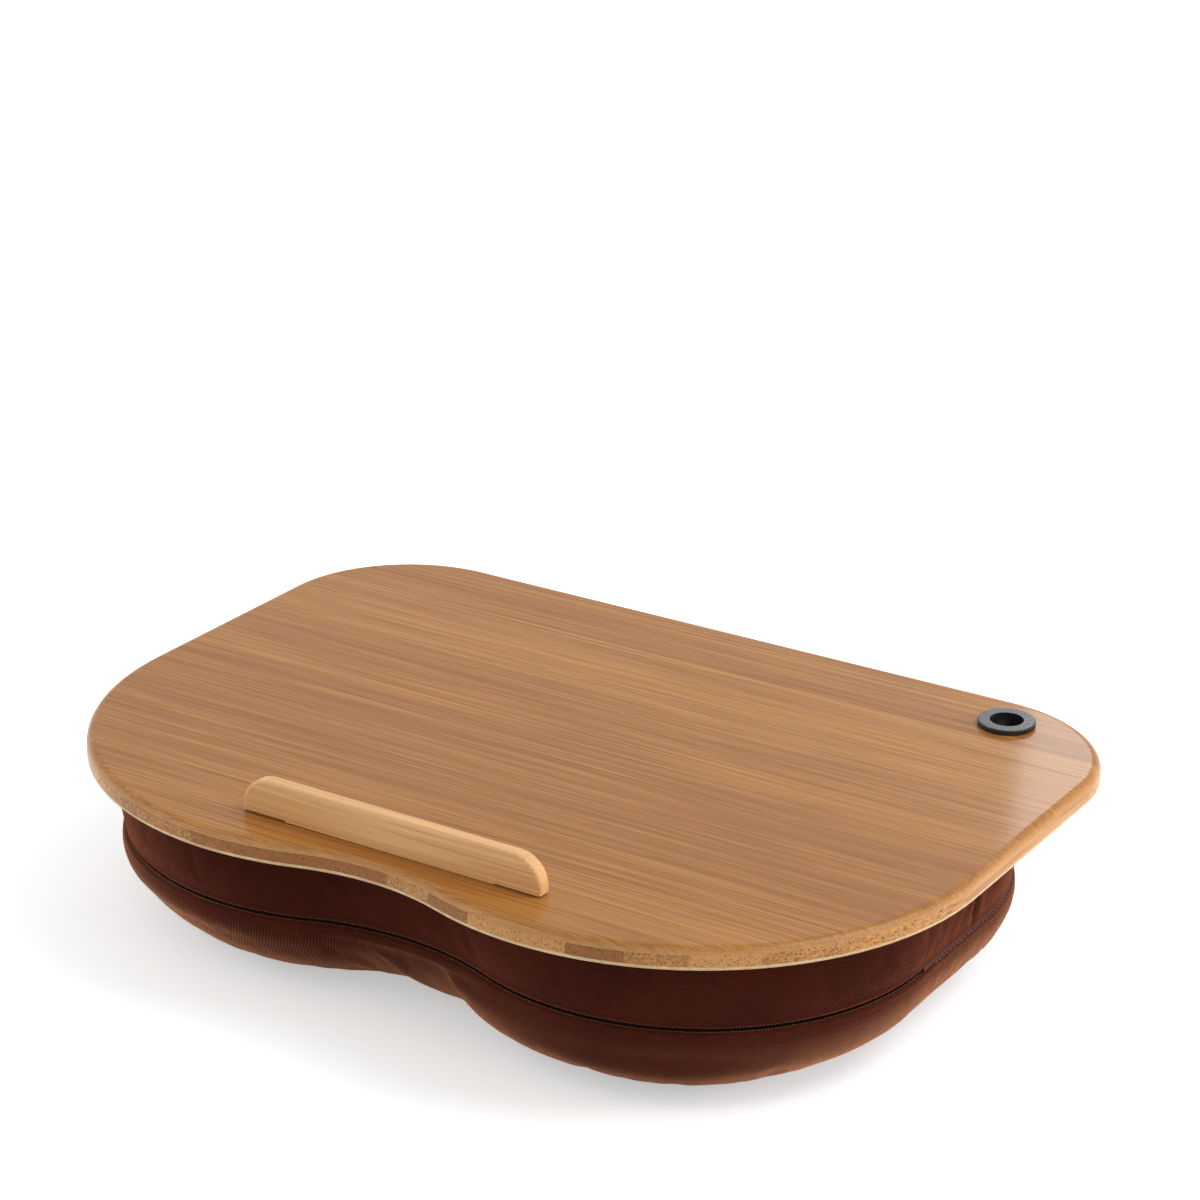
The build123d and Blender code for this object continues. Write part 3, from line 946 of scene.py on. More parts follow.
class PileTree(Tree):
    """Stands rows of small hooks or loops on a strip of tape and keeps the tape."""

    def __init__(self) -> None:
        """Builds the tree."""
        sizes = dict.fromkeys(("Length", "Width", "Pitch", "Height", "Shuffle", "Turn"), "Float")
        super().__init__("pile_on_tape", {**sizes, "Seed": "Int", "Unit": "Object", "Material": "Material"})
        put = self.source.outputs
        counts = [self.node("ShaderNodeMath", {0: put[side], 1: put["Pitch"]}, operation="DIVIDE").outputs[0]
                  for side in ("Length", "Width")]
        size = {"Size X": put["Length"], "Size Y": put["Width"]}
        points = {"Vertices X": counts[0], "Vertices Y": counts[1]}
        grid = self.node("GeometryNodeMeshGrid", {**size, **points})
        limits = {0: (-1.0, -1.0, 0.0), 1: (1.0, 1.0, 0.0), "Seed": put["Seed"]}
        chance = self.node("FunctionNodeRandomValue", limits, data_type="FLOAT_VECTOR").outputs[0]
        aside, spin = (self.node("ShaderNodeVectorMath", {0: chance, "Scale": put[key]}, operation="SCALE")
                       for key in ("Shuffle", "Turn"))
        lift = self.node("ShaderNodeCombineXYZ", {"Z": put["Height"]})
        shift = self.node("ShaderNodeVectorMath", {0: aside.outputs[0], 1: lift.outputs[0]}, operation="ADD")
        rows = self.node("GeometryNodeSetPosition", {0: grid.outputs[0], "Offset": shift.outputs[0]})
        apart = self.node("ShaderNodeSeparateXYZ", {0: spin.outputs[0]})
        turn = self.node("ShaderNodeCombineXYZ", {"Z": apart.outputs[0]})
        unit = self.node("GeometryNodeObjectInfo", {0: put["Unit"]})
        pile = self.node("GeometryNodeInstanceOnPoints", {
            0: rows.outputs[0], "Instance": unit.outputs["Geometry"], "Rotation": turn.outputs[0]})
        both = self.node("GeometryNodeJoinGeometry", {0: pile.outputs[0]})
        self.tree.links.new(put["Geometry"], both.inputs[0])
        self.end(both.outputs[0])


@dataclass(frozen=True)
class Wire:
    """A short bent wire in the XZ plane, such as one hook or loop. Its line is in millimetres."""

    line: Profile
    radius: float = 0.1 * MM
    sides: int = 4

    def make(self, name: str) -> bpy.types.Object:
        """Makes the wire.

        Args:
            name: The unit's name.

        Returns:
            The unit, not linked into the scene.
        """
        spine = np.array([(x * MM, 0.0, z * MM) for x, z in self.line])
        ahead = np.gradient(spine, axis=0)
        ahead /= np.linalg.norm(ahead, axis=1, keepdims=True)
        aside = np.array((0.0, 1.0, 0.0))
        turns = np.arange(self.sides) * 2 * math.pi / self.sides
        points = [p + self.radius * (math.cos(t) * np.cross(aside, a) + math.sin(t) * aside)
                  for p, a in zip(spine, ahead) for t in turns]
        faces = closed_tube_faces(self.sides, len(spine))
        return bpy.data.objects.new(name, plain_mesh(name, points, faces))


@dataclass(frozen=True)
class Bead:
    """One small rounded unit, such as a stitch or a coil tooth, whose ends may curve down."""

    length: float
    width: float
    height: float
    sink: float = 0.0
    fullness: float = 0.6
    levels: int = 5
    sides: int = 8

    def make(self, name: str) -> bpy.types.Object:
        """Makes the bead.

        Args:
            name: The unit's name.

        Returns:
            The unit, not linked into the scene.
        """
        points = [(-self.length / 2, 0.0, -self.sink)]
        for level in range(1, self.levels + 1):
            angle = math.pi * level / (self.levels + 1)
            x, swell = -math.cos(angle), math.sin(angle) ** self.fullness
            drop = -self.sink * x * x
            for side in range(self.sides):
                turn = 2 * math.pi * side / self.sides
                points.append((x * self.length / 2, swell * self.width / 2 * math.cos(turn),
                               drop + swell * self.height / 2 * math.sin(turn)))
        points.append((self.length / 2, 0.0, -self.sink))
        faces = tube_faces(self.sides, self.levels, 1)
        last = 1 + (self.levels - 1) * self.sides
        for side in range(self.sides):
            after = (side + 1) % self.sides
            faces += [(0, 1 + after, 1 + side), (last + side, last + after, len(points) - 1)]
        return bpy.data.objects.new(name, plain_mesh(name, points, faces))


@dataclass(frozen=True)
class Fold:
    """One swell of the lower panel: a crest line, with a steep side where the cloth creases.

    The crest runs on past its ends for the shares in reach, and fades in from start and out at end.
    """

    high_x: float
    high_z: float
    low_x: float
    low_z: float
    height: float
    left: float
    right: float
    reach: Pair = (-0.4, 2.0)
    start: float = -0.55
    rise: float = 1.35
    end: float = 2.3

    def relief(self, x: np.ndarray, z: np.ndarray) -> np.ndarray:
        """Works out how far the swell lifts the cloth.

        Args:
            x: Places across the tray.
            z: Heights.

        Returns:
            The lift at each place.
        """
        share = (self.high_z - z) / (self.high_z - self.low_z)
        away = x - (self.high_x + (self.low_x - self.high_x) * np.clip(share, *self.reach))
        width = np.where(away < 0, self.left, self.right)
        fade = np.clip(self.rise * (share - self.start), 0, 1) * np.clip(self.end - share, 0, 1)
        return self.height * fade * bell(away, width)


@dataclass(frozen=True)
class Stuffing:
    """How the stuffing presses on a strip of cloth, and how the cloth gives way."""

    pressure: float
    cap: float
    seed: int
    slack: float = 0.003
    mass: float = 0.25
    bending: float = 0.35
    quality: int = 6
    frames: int = 20
    ripple: float = 0.04 * MM
    ripple_rows: float = 0.4
    waves: range = range(24, 120, 8)


@dataclass
class Board:
    """The laminated board, its stop bar and its cable grommet, which keep their exact solids."""

    finishes: Finishes

    def dress(self) -> None:
        """Gives each layer, strip and fitting its finish."""
        core = self.finishes.core.material()
        wardrobe = {
            "top_ply": self.finishes.face.material(),
            "bottom_ply": self.finishes.base.material(),
            "stop_bar": self.finishes.stop.material(),
            "cable_grommet": self.finishes.grommet.material(),
            **{node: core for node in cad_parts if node.startswith("core_strip_")},
        }
        for node, material in wardrobe.items():
            wear(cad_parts[node], material)
        LOG.info("board: %d nodes dressed", len(wardrobe))


class Grip(Enum):
    """The two sides of a hook-and-loop strip."""

    HOOKS = "hook"
    LOOPS = "loop"


@dataclass(frozen=True)
class Pile:
    """The pile of one strip: its bent wire, and how evenly it stands."""

    unit: Wire
    base: float
    pitch: float
    shuffle: float
    turn: float


@dataclass
class FasteningStrips:
    """The hook strips under the board and the loop strips on the cushion.

    Their tape's edge is pairs of inset and height in millimetres, from the underside up.
    """

    finishes: Finishes
    length: float = 200.0 * MM
    width: float = 25.0 * MM
    spacing: float = 120.0 * MM
    corner: float = 3.0 * MM
    corner_points: int = 7
    tape_edge: Profile = ((0.3, 0.0), (0.0, 0.05), (0.0, 0.252), (0.12, 0.378), (0.4, 0.42))
    border: float = 1.6 * MM
    seed: int = 3
    hooks: Pile = Pile(
        Wire(((0, 0), (0.02, 0.26), (0.1, 0.4), (0.26, 0.45), (0.4, 0.38), (0.44, 0.27))),
        base=67.0 * MM, pitch=1.75 * MM, shuffle=0.1 * MM, turn=0.1)
    loops: Pile = Pile(
        Wire(((-0.42, 0), (-0.44, 0.2), (-0.26, 0.4), (0.06, 0.46), (0.34, 0.34), (0.42, 0.12), (0.36, 0))),
        base=64.7 * MM, pitch=1.4 * MM, shuffle=0.45 * MM, turn=3.1)

    @property
    def thickness(self) -> float:
        """Thickness of the tape."""
        return self.tape_edge[-1][1] * MM

    def backing(self, name: str) -> bpy.types.Object:
        """Weaves the tape that the pile stands on, with rounded corners and a soft top edge.

        Args:
            name: The object's name.

        Returns:
            The tape, centred on the origin with its underside at zero.
        """
        reach_x, reach_y = self.length / 2 - self.corner, self.width / 2 - self.corner
        turns = np.linspace(0, math.pi / 2, self.corner_points)
        outline = [(reach_x * x, reach_y * y, turn + quarter * math.pi / 2)
                   for quarter, (x, y) in enumerate(((1, 1), (-1, 1), (-1, -1), (1, -1))) for turn in turns]
        points: list[tuple[float, float, float]] = []
        for inset, height in self.tape_edge:
            reach = self.corner - inset * MM
            points += [(x + reach * math.cos(turn), y + reach * math.sin(turn), height * MM)
                       for x, y, turn in outline]
        return mesh_object(name, points, closed_tube_faces(len(outline), len(self.tape_edge)))

    def build(self) -> None:
        """Makes the four strips, loops up on the cushion and hooks down under the board."""
        tree, cloth = PileTree(), self.finishes.pile.material()
        for grip, pile in ((Grip.HOOKS, self.hooks), (Grip.LOOPS, self.loops)):
            unit = pile.unit.make(grip.value + "_unit")
            for side, word in ((-1, "front"), (1, "rear")):
                name = f"{grip.value}_strip_{word}_woven"
                strip = tree.run(
                    self.backing(name), name, cloth, Length=self.length - 2 * self.border,
                    Width=self.width - 2 * self.border, Pitch=pile.pitch, Height=self.thickness,
                    Shuffle=pile.shuffle, Turn=pile.turn, Seed=self.seed + side, Unit=unit)
                middle = Matrix.Translation((0.0, side * self.spacing / 2, pile.base))
                if grip is Grip.HOOKS:
                    middle = middle @ Matrix.Rotation(math.pi, 4, "X")
                strip.data.transform(middle)
                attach(strip, "tray" if grip is Grip.HOOKS else "cushion")
                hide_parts(f"{grip.value}_strip_{word}")
                LOG.info("%s: %d faces", name, len(strip.data.polygons))


@dataclass
class Cushion:
    """The lobed cushion: lower panel, two band panels, top panel and the sewn rear seam.

    Its rolls and edges are pairs of inset and height in millimetres, for the levels of a rounded hem.
    """

    finishes: Finishes
    rows: RowTree
    strips: FasteningStrips
    outline: Outline = Outline(half=175.5 * MM, front=-124.2 * MM, rear=122.2 * MM, lobe=76.0 * MM,
                               waist=14.4 * MM, rear_radius=90.0 * MM)
    step: float = 2.2 * MM
    cloth: float = 0.8 * MM
    seam_height: float = 35.5 * MM
    seam_gap: float = 2.6 * MM
    mouth: float = 1.4 * MM
    sewn_gap: float = 0.12 * MM
    zip_end: float = 9.0 * MM
    tape_inset: float = 3.3 * MM

    lower_taper: float = 46.0 * MM
    lower_start: float = 4.2 * MM
    lower_rows: int = 24
    lower_roll: Profile = ((3.0, 0.55), (2.3, 0.12), (1.55, 0.0), (0.95, 0.25), (0.55, 0.8), (0.38, 1.5),
                           (0.42, 2.3), (0.22, 3.2))
    lower_stuffing: Stuffing = Stuffing(pressure=4.0, cap=1.4 * MM, seed=5)
    waist_draw: float = 9.0 * MM
    base_flat: float = 0.5 * MM
    base_held: int = 3
    base_rings: tuple[float, ...] = (0.97, 0.9, 0.75, 0.55, 0.3, 0.02)
    folds: tuple[Fold, ...] = (
        Fold(high_x=-8 * MM, high_z=21 * MM, low_x=4 * MM, low_z=10 * MM,
             height=2.4 * MM, left=2.4 * MM, right=20 * MM),
        Fold(high_x=22 * MM, high_z=28 * MM, low_x=34 * MM, low_z=14 * MM,
             height=2.2 * MM, left=2.4 * MM, right=38 * MM),
        Fold(high_x=-108 * MM, high_z=22 * MM, low_x=-108 * MM, low_z=14 * MM,
             height=-1.9 * MM, left=45 * MM, right=60 * MM),
        Fold(high_x=116 * MM, high_z=18 * MM, low_x=116 * MM, low_z=9 * MM,
             height=2.6 * MM, left=50 * MM, right=28 * MM),
    )
    folds_before_y: float = -12.0 * MM
    folds_fade_y: float = 50.0 * MM
    folds_below_seam: float = 4.0 * MM
    folds_fade_z: float = 6.0 * MM

    band_height: float = 29.2 * MM
    band_swell: float = 1.8 * MM
    band_rows: int = 15
    band_span: Pair = (0.93, 0.12)
    band_edge: Profile = ((3.4, 1.1), (2.5, 0.55), (2.05, 0.35), (1.7, 0.75))
    band_roll: Profile = ((1.45, 2.0), (1.42, 1.2), (1.6, 0.55), (2.0, 0.08), (2.5, 0.02), (3.0, 0.5))
    band_stuffing: Stuffing = Stuffing(pressure=2.0, cap=0.8 * MM, seed=9)
    band_seam_offset: float = 42.0 * MM
    flank: float = 1.0 * MM
    tuck: float = 1.0 * MM
    tuck_width: float = 1.3 * MM
    shoulder: float = 0.25 * MM
    shoulder_away: float = 4.5 * MM
    shoulder_width: float = 2.0 * MM
    tuck_held: float = 0.3

    top_edge: Profile = ((2.7, 1.2), (2.9, 0.5), (3.5, 0.14), (4.8, 0.02), (7.0, 0.0))
    top_rings: int = 18
    top_span: Pair = (0.96, 0.03)
    top_swell: float = 1.5 * MM
    top_fade: float = 14.0 * MM
    top_fade_rows: float = 6.0

    stitch: Bead = Bead(length=2.2 * MM, width=0.4 * MM, height=0.34 * MM, sink=0.25 * MM)
    seam_stitch_pitch: float = 3.0 * MM
    seam_stitch_inset: float = 0.8 * MM
    seam_stitch_start: float = 10.0 * MM
    strip_stitch_pitch: float = 2.8 * MM
    strip_stitch_lift: float = 0.62 * MM
    strip_stitch_points: int = 40

    walk: Walk = field(init=False)
    perimeter: float = field(init=False)

    def __post_init__(self) -> None:
        """Lays the stations round the outline."""
        self.walk = Walk.around(self.outline, self.step)
        self.perimeter = 2 * sum(self.outline.lengths())

    @property
    def top(self) -> float:
        """Height of the cushion's top."""
        return self.seam_height + self.band_height

    def centre(self, z: float) -> np.ndarray:
        """Returns the middle of the outline at a height."""
        return np.array([0.0, (self.outline.front + self.outline.rear) / 2, z])

    def zipped(self) -> np.ndarray:
        """Returns 1 at stations on the zipper and 0 on the sewn rear seam, with a short change."""
        points, _ = self.walk.edge(self.outline)
        return 1 - soft_step((points[:, 1] - self.outline.corner_y) / self.zip_end)

    def gap(self) -> np.ndarray:
        """Returns half of the seam's opening at each station: open at the zipper, closed where it is sewn."""
        return self.sewn_gap + self.zipped() * (self.mouth / 2 - self.sewn_gap)

    def level(self, inset: np.ndarray | float, z: np.ndarray | float, extra: float = 0.0) -> np.ndarray:
        """Places one level of the cushion.

        Args:
            inset: How far the level is drawn in, for all stations or each.
            z: The level's height, for all stations or each.
            extra: Depth added to the waist.

        Returns:
            One row of X, Y and Z for each station.
        """
        shape = replace(self.outline, waist=self.outline.waist + extra)
        points, normals = self.walk.edge(shape)
        flat = points - normals * np.broadcast_to(inset, len(points))[:, None]
        return np.column_stack([flat, np.broadcast_to(z, len(points))])

    def lower_levels(self) -> np.ndarray:
        """Places the lower panel's levels.

        Returns:
            The levels, from inside the seam to the rim of the flat base.
        """
        high = self.seam_height - self.gap()
        low = self.seam_height - self.seam_gap / 2
        levels = [self.level(inset * MM, high - drop * MM) for inset, drop in self.lower_roll]
        depth = low + self.base_flat
        start, stop = math.asin(self.lower_start / depth), math.asin(low / depth)
        for angle in np.linspace(start, stop, self.lower_rows):
            inset = self.lower_taper * (1 - math.cos(angle))
            z = low - depth * math.sin(angle)
            levels.append(self.level(inset, z, self.waist_draw * math.sin(angle)))
        return np.array(levels)

    def band_levels(self) -> np.ndarray:
        """Places the band's levels.

        Returns:
            The levels, from the top edge to inside the zipped seam.
        """
        low = self.seam_height + self.gap()
        base, height = self.seam_height + self.seam_gap / 2, self.band_height - self.seam_gap / 2
        levels = [self.level(inset * MM, self.top - drop * MM) for inset, drop in self.band_edge]
        for share in np.linspace(*self.band_span, self.band_rows):
            levels.append(self.level(self.band_swell * (1 - 4 * share * (1 - share)), base + height * share))
        levels += [self.level(inset * MM, low + rise * MM) for inset, rise in self.band_roll]
        return np.array(levels)

    def lengths_down(self, grid: np.ndarray) -> np.ndarray:
        """Returns the distance of each level along the cloth, at the front centre."""
        steps = np.linalg.norm(np.diff(grid[:, 0], axis=0), axis=1)
        return np.concatenate([[0.0], np.cumsum(steps)])

    def fold_relief(self, grid: np.ndarray) -> np.ndarray:
        """Works out how far the lower panel stands out in its folds.

        Args:
            grid: The panel's levels.

        Returns:
            The lift of each point.
        """
        lift = sum(fold.relief(grid[:, :, 0], grid[:, :, 2]) for fold in self.folds)
        ahead = soft_step((self.folds_before_y - grid[:, :, 1]) / self.folds_fade_y)
        highest = self.seam_height - self.folds_below_seam
        return lift * ahead * np.clip((highest - grid[:, :, 2]) / self.folds_fade_z, 0, 1)

    def outwards(self, grid: np.ndarray) -> np.ndarray:
        """Works out which way a closed strip of cloth faces.

        Args:
            grid: The strip's levels.

        Returns:
            The unit normal of each point.
        """
        side = np.roll(grid, -1, axis=1) - np.roll(grid, 1, axis=1)
        normal = np.cross(np.gradient(grid, axis=0), side)
        return normal / np.maximum(np.linalg.norm(normal, axis=2, keepdims=True), TINY)

    def relax(self, grid: np.ndarray, free: np.ndarray, stuffing: Stuffing) -> np.ndarray:
        """Lets a closed strip of cloth swell and crease over its stuffing.

        Args:
            grid: The cloth's levels.
            free: How free each level is, 0 pinned to 1 loose.
            stuffing: The pressure, the cloth's behaviour and the seed of its small unevenness.

        Returns:
            The moved levels.
        """
        rows, columns = grid.shape[:2]
        chance = np.random.default_rng(stuffing.seed)
        turns = np.arange(columns) * 2 * math.pi / columns
        heights = np.arange(rows)[:, None] * stuffing.ripple_rows
        start = grid.copy()
        for wave in stuffing.waves:
            phase = chance.uniform(0, 2 * math.pi, 2)
            ripple = np.sin(wave * turns + phase[0])[None, :] * np.sin(heights + phase[1])
            start[:, :, 2] += stuffing.ripple * ripple * free[:, None]
        strip = Sheet(start, self.walk.along, np.zeros(rows), self.perimeter).piece("relaxing")
        pins = strip.vertex_groups.new(name="pins")
        for row in range(rows):
            pins.add(range(row * columns, (row + 1) * columns), 1 - free[row], "REPLACE")
        rules = strip.modifiers.new("cloth", "CLOTH").settings
        rules.vertex_group_mass = "pins"
        rules.quality = stuffing.quality
        rules.mass = stuffing.mass
        rules.use_pressure = True
        rules.uniform_pressure_force = stuffing.pressure
        rules.shrink_min = -stuffing.slack
        rules.bending_stiffness = stuffing.bending
        rules.effector_weights.gravity = 0.0
        scene = bpy.context.scene
        for number in range(1, stuffing.frames + 1):
            scene.frame_set(number)
        settled = strip.evaluated_get(bpy.context.evaluated_depsgraph_get()).to_mesh()
        flat = np.empty(rows * columns * 3, np.float32)
        settled.vertices.foreach_get("co", flat)
        scene.frame_set(1)
        bpy.data.objects.remove(strip)
        move = flat.reshape(rows, columns, 3).astype(float) - grid
        reach = np.linalg.norm(move, axis=2, keepdims=True)
        return grid + move * np.minimum(1, stuffing.cap / np.maximum(reach, TINY))

    def lower_panel(self) -> bpy.types.Object:
        """Builds the lower panel with its folds and its flat base.

        Returns:
            The piece.
        """
        grid = self.lower_levels()
        rolled, held = len(self.lower_roll), len(grid) - self.base_held
        grid = grid + self.outwards(grid) * self.fold_relief(grid)[:, :, None]
        free = np.zeros(len(grid))
        free[rolled:held] = 1.0
        free[[rolled - 1, held, held + 1]] = 0.5
        grid = self.relax(grid, free, self.lower_stuffing)
        grid[:, :, 2] = np.maximum(grid[:, :, 2], 0.0)
        centre = self.centre(0.0)
        grid = np.concatenate([grid, rings(grid[-1], centre, self.base_rings)])
        sheet = Sheet(grid, self.walk.along, self.lengths_down(grid), self.perimeter)
        sheet.cap(centre, first=False)
        return thicken(sheet.piece("cover_lower_panel"), self.cloth)

    def band_seams(self) -> tuple[int, int]:
        """Finds the stations of the band's upright seams.

        Returns:
            The numbers of the right one and the left one.
        """
        points, _ = self.walk.edge(self.outline)
        away = np.abs(points[:, 1] - (self.outline.corner_y + self.band_seam_offset))
        widest = self.outline.half - self.flank
        right = np.argmin(np.where(points[:, 0] > widest, away, np.inf))
        left = np.argmin(np.where(points[:, 0] < -widest, away, np.inf))
        return int(right), int(left)

    def bands(self) -> list[bpy.types.Object]:
        """Builds the band's front and rear panels, tucked in at the upright seams.

        Returns:
            The two pieces.
        """
        grid = self.band_levels()
        rows, columns = grid.shape[:2]
        edge, rolled = len(self.band_edge), rows - len(self.band_roll) - 1
        free = np.zeros(rows)
        free[edge + 1:rolled] = 1.0
        free[[edge, rolled]] = 0.5
        grid = self.relax(grid, free, self.band_stuffing)
        right, left = self.band_seams()
        along = self.walk.along
        tuck = np.zeros(columns)
        for column in (right, left):
            away = np.abs(along - along[column])
            shoulder = bell(away - self.shoulder_away, self.shoulder_width)
            tuck += self.tuck * bell(away, self.tuck_width) - self.shoulder * shoulder
        held = np.clip(free, self.tuck_held, 1)[:, None, None]
        grid = grid - self.outwards(grid) * (tuck[None, :, None] * held)
        down = self.lengths_down(grid)
        front = np.concatenate([np.arange(left, columns), np.arange(0, right + 1)])
        front_along = np.concatenate([along[left:] - self.perimeter, along[:right + 1]])
        rear = np.arange(right, left + 1)
        return [
            thicken(Sheet(grid[:, front], front_along, down).piece("cover_band_front"), self.cloth),
            thicken(Sheet(grid[:, rear], along[rear], down).piece("cover_band_rear"), self.cloth),
        ]

    def crown(self, grid: np.ndarray) -> np.ndarray:
        """Works out how far the top panel swells between its edge and the strips sewn down on it.

        Args:
            grid: The panel's levels.

        Returns:
            The swell of each point.
        """
        x, y = np.abs(grid[:, :, 0]), np.abs(np.abs(grid[:, :, 1]) - self.strips.spacing / 2)
        strip = np.maximum(x - self.strips.length / 2, y - self.strips.width / 2)
        rim = np.arange(len(grid))[::-1, None] / self.top_fade_rows
        return self.top_swell * soft_step(np.clip(strip / self.top_fade, 0, 1) * np.clip(rim, 0, 1))

    def top_panel(self) -> bpy.types.Object:
        """Builds the top panel, softly padded between its edge and the loop strips.

        Returns:
            The piece.
        """
        centre = self.centre(self.top)
        edge = [self.level(inset * MM, self.top - drop * MM) for inset, drop in self.top_edge]
        inner = rings(edge[-1], centre, np.linspace(*self.top_span, self.top_rings))
        grid = np.array(edge + inner)[::-1]
        grid[:, :, 2] += self.crown(grid)
        centre[2] = grid[0, :, 2].mean()
        sheet = Sheet(grid, self.walk.along, self.lengths_down(grid), self.perimeter)
        sheet.cap(centre, first=True)
        sheet.lay_flat()
        return thicken(sheet.piece("cover_top_panel"), self.cloth)

    def seam_stitches(self, unit: bpy.types.Object) -> bpy.types.Object:
        """Sews the rear seam.

        Args:
            unit: One stitch.

        Returns:
            The row of stitches.
        """
        points, normals = self.walk.edge(self.outline)
        rear = np.nonzero(points[:, 1] > self.outline.corner_y + self.seam_stitch_start)[0]
        seam = self.level(self.seam_stitch_inset, self.seam_height)[rear]
        outward = np.column_stack([normals, np.zeros(len(normals))])[rear]
        thread = self.finishes.thread.material()
        return self.rows.along("rear_seam_stitches", [(seam, outward)], self.seam_stitch_pitch, unit, thread)

    def strip_stitches(self, unit: bpy.types.Object) -> bpy.types.Object:
        """Sews the loop strips down, round their borders.

        Args:
            unit: One stitch.

        Returns:
            The rows of stitches.
        """
        half, wide = self.strips.length / 2 - self.strips.border, self.strips.width / 2 - self.strips.border
        corners = np.array([(-half, -wide), (half, -wide), (half, wide), (-half, wide), (-half, -wide)])
        sides = [np.linspace(a, b, self.strip_stitch_points) for a, b in zip(corners, corners[1:])]
        border = np.concatenate(sides)
        height = np.full(len(border), self.top + self.strip_stitch_lift)
        paths = []
        for side in (-1, 1):
            line = np.column_stack([border[:, 0], border[:, 1] + side * self.strips.spacing / 2, height])
            paths.append((line, np.tile((0.0, 0.0, 1.0), (len(line), 1))))
        thread = self.finishes.strip_thread.material()
        return self.rows.along("loop_strip_stitches", paths, self.strip_stitch_pitch, unit, thread)

    def build(self) -> None:
        """Makes every panel and row of stitches, hides the nodes that the panels replace and dresses the rear
        seam.
        """
        # The lower twill is the band's cloth painted lighter, as painted light from below
        band_twill, lower_twill_painted_lighter = self.finishes.band.material(), self.finishes.lower.material()
        lower = self.lower_panel()
        front, rear = self.bands()
        top = self.top_panel()
        for piece, nodes, fill in ((lower, ("bottom_panel", "filling"), 0.7), (front, ("front_band",), 0.7),
                                   (rear, ("rear_band",), 0.7), (top, ("top_panel",), 0.6)):
            wear(piece, lower_twill_painted_lighter if piece is lower else band_twill)
            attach(piece, "cushion")
            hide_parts(*nodes)
            LOG.info("%s: %d faces", piece.name, len(piece.data.polygons))
        stitch = self.stitch.make("rear_stitch")
        for row in (self.seam_stitches(stitch), self.strip_stitches(stitch)):
            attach(row, "cushion")
            LOG.info("%s: %d faces", row.name, len(row.data.polygons))
        wear(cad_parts["rear_seam"], self.finishes.seam.material())


@dataclass
class Zipper:
    """The coil zipper in the front of the seam, with its tapes, end stops, slider and pull tab."""

    finishes: Finishes
    cushion: Cushion
    rows: RowTree
    pitch: float = 1.3 * MM
    tooth: Bead = Bead(length=0.85 * MM, width=1.3 * MM, height=0.9 * MM)
    coil_inset: float = 2.8 * MM
    coil_gap: float = 0.42 * MM
    tape_gap: float = 0.4 * MM
    tape_width: float = 5.5 * MM
    tape_depth: float = 0.7 * MM
    tolerance: float = 0.001 * MM

    def front(self) -> tuple[np.ndarray, np.ndarray]:
        """Finds the stations of the zipper.

        Returns:
            Their columns from left to right, and their outward normals.
        """
        points, normals = self.cushion.walk.edge(self.cushion.outline)
        columns = np.nonzero(points[:, 1] <= self.cushion.outline.corner_y + self.tolerance)[0]
        split = len(points) // 2
        order = np.concatenate([columns[columns > split], columns[columns <= split]])
        return order, np.column_stack([normals, np.zeros(len(normals))])[order]

    def tape(self, side: int, word: str) -> bpy.types.Object:
        """Weaves one tape as a flat closed ribbon.

        Args:
            side: 1 above the coil, -1 below it.
            word: What that side is called.

        Returns:
            The piece.
        """
        order, _ = self.front()
        near = self.cushion.seam_height + side * self.tape_gap
        far = near + side * self.tape_width
        outer, inner = self.cushion.tape_inset, self.cushion.tape_inset + self.tape_depth
        section = [(outer, near), (outer, far), (inner, far), (inner, near)]
        if side > 0:
            section.reverse()
        points = np.concatenate([self.cushion.level(inset, z)[order] for inset, z in section])
        count = len(order)
        faces: list[Face] = []
        for k in range(4):
            this, after = k * count, (k + 1) % 4 * count
            faces += [(this + c, after + c, after + c + 1, this + c + 1) for c in range(count - 1)]
        faces.append(tuple(k * count for k in reversed(range(4))))
        faces.append(tuple(k * count + count - 1 for k in range(4)))
        return mesh_object(f"zipper_tape_{word}_woven", points, faces)

    def teeth(self, side: int, word: str, material: bpy.types.Material) -> bpy.types.Object:
        """Sets one half of the coil, half a pitch off the other half.

        Args:
            side: 1 for the upper half, -1 for the lower one.
            word: What the half is called.
            material: What it wears.

        Returns:
            The piece.
        """
        order, outward = self.front()
        path = self.cushion.level(self.coil_inset, self.cushion.seam_height + side * self.coil_gap)[order]
        step = path[1] - path[0]
        path[0] = path[0] + step / np.linalg.norm(step) * (self.pitch / 2 if side > 0 else 0.0)
        unit = self.tooth.make("coil_tooth_" + word)
        return self.rows.along(f"zipper_coil_{word}_teeth", [(path, outward)], self.pitch, unit, material)

    def build(self) -> None:
        """Makes the tapes and the coil, and dresses the end stops, slider and pull tab."""
        weave, nylon = self.finishes.tape.material(), self.finishes.coil.material()
        metal = self.finishes.metal.material()
        for side, word in ((1, "upper"), (-1, "lower")):
            ribbon = self.tape(side, word)
            wear(ribbon, weave)
            teeth = self.teeth(side, word, nylon)
            for piece, node, slot in ((ribbon, f"zipper_tape_{word}", "zipper_tape"),
                                      (teeth, f"zipper_coil_{word}", "zipper_coil")):
                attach(piece, "cushion")
                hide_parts(node)
                LOG.info("%s: %d faces", piece.name, len(piece.data.polygons))
        for node in ("zipper_end_stops", "zipper_slider", "pull_tab"):
            wear(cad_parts[node], metal)


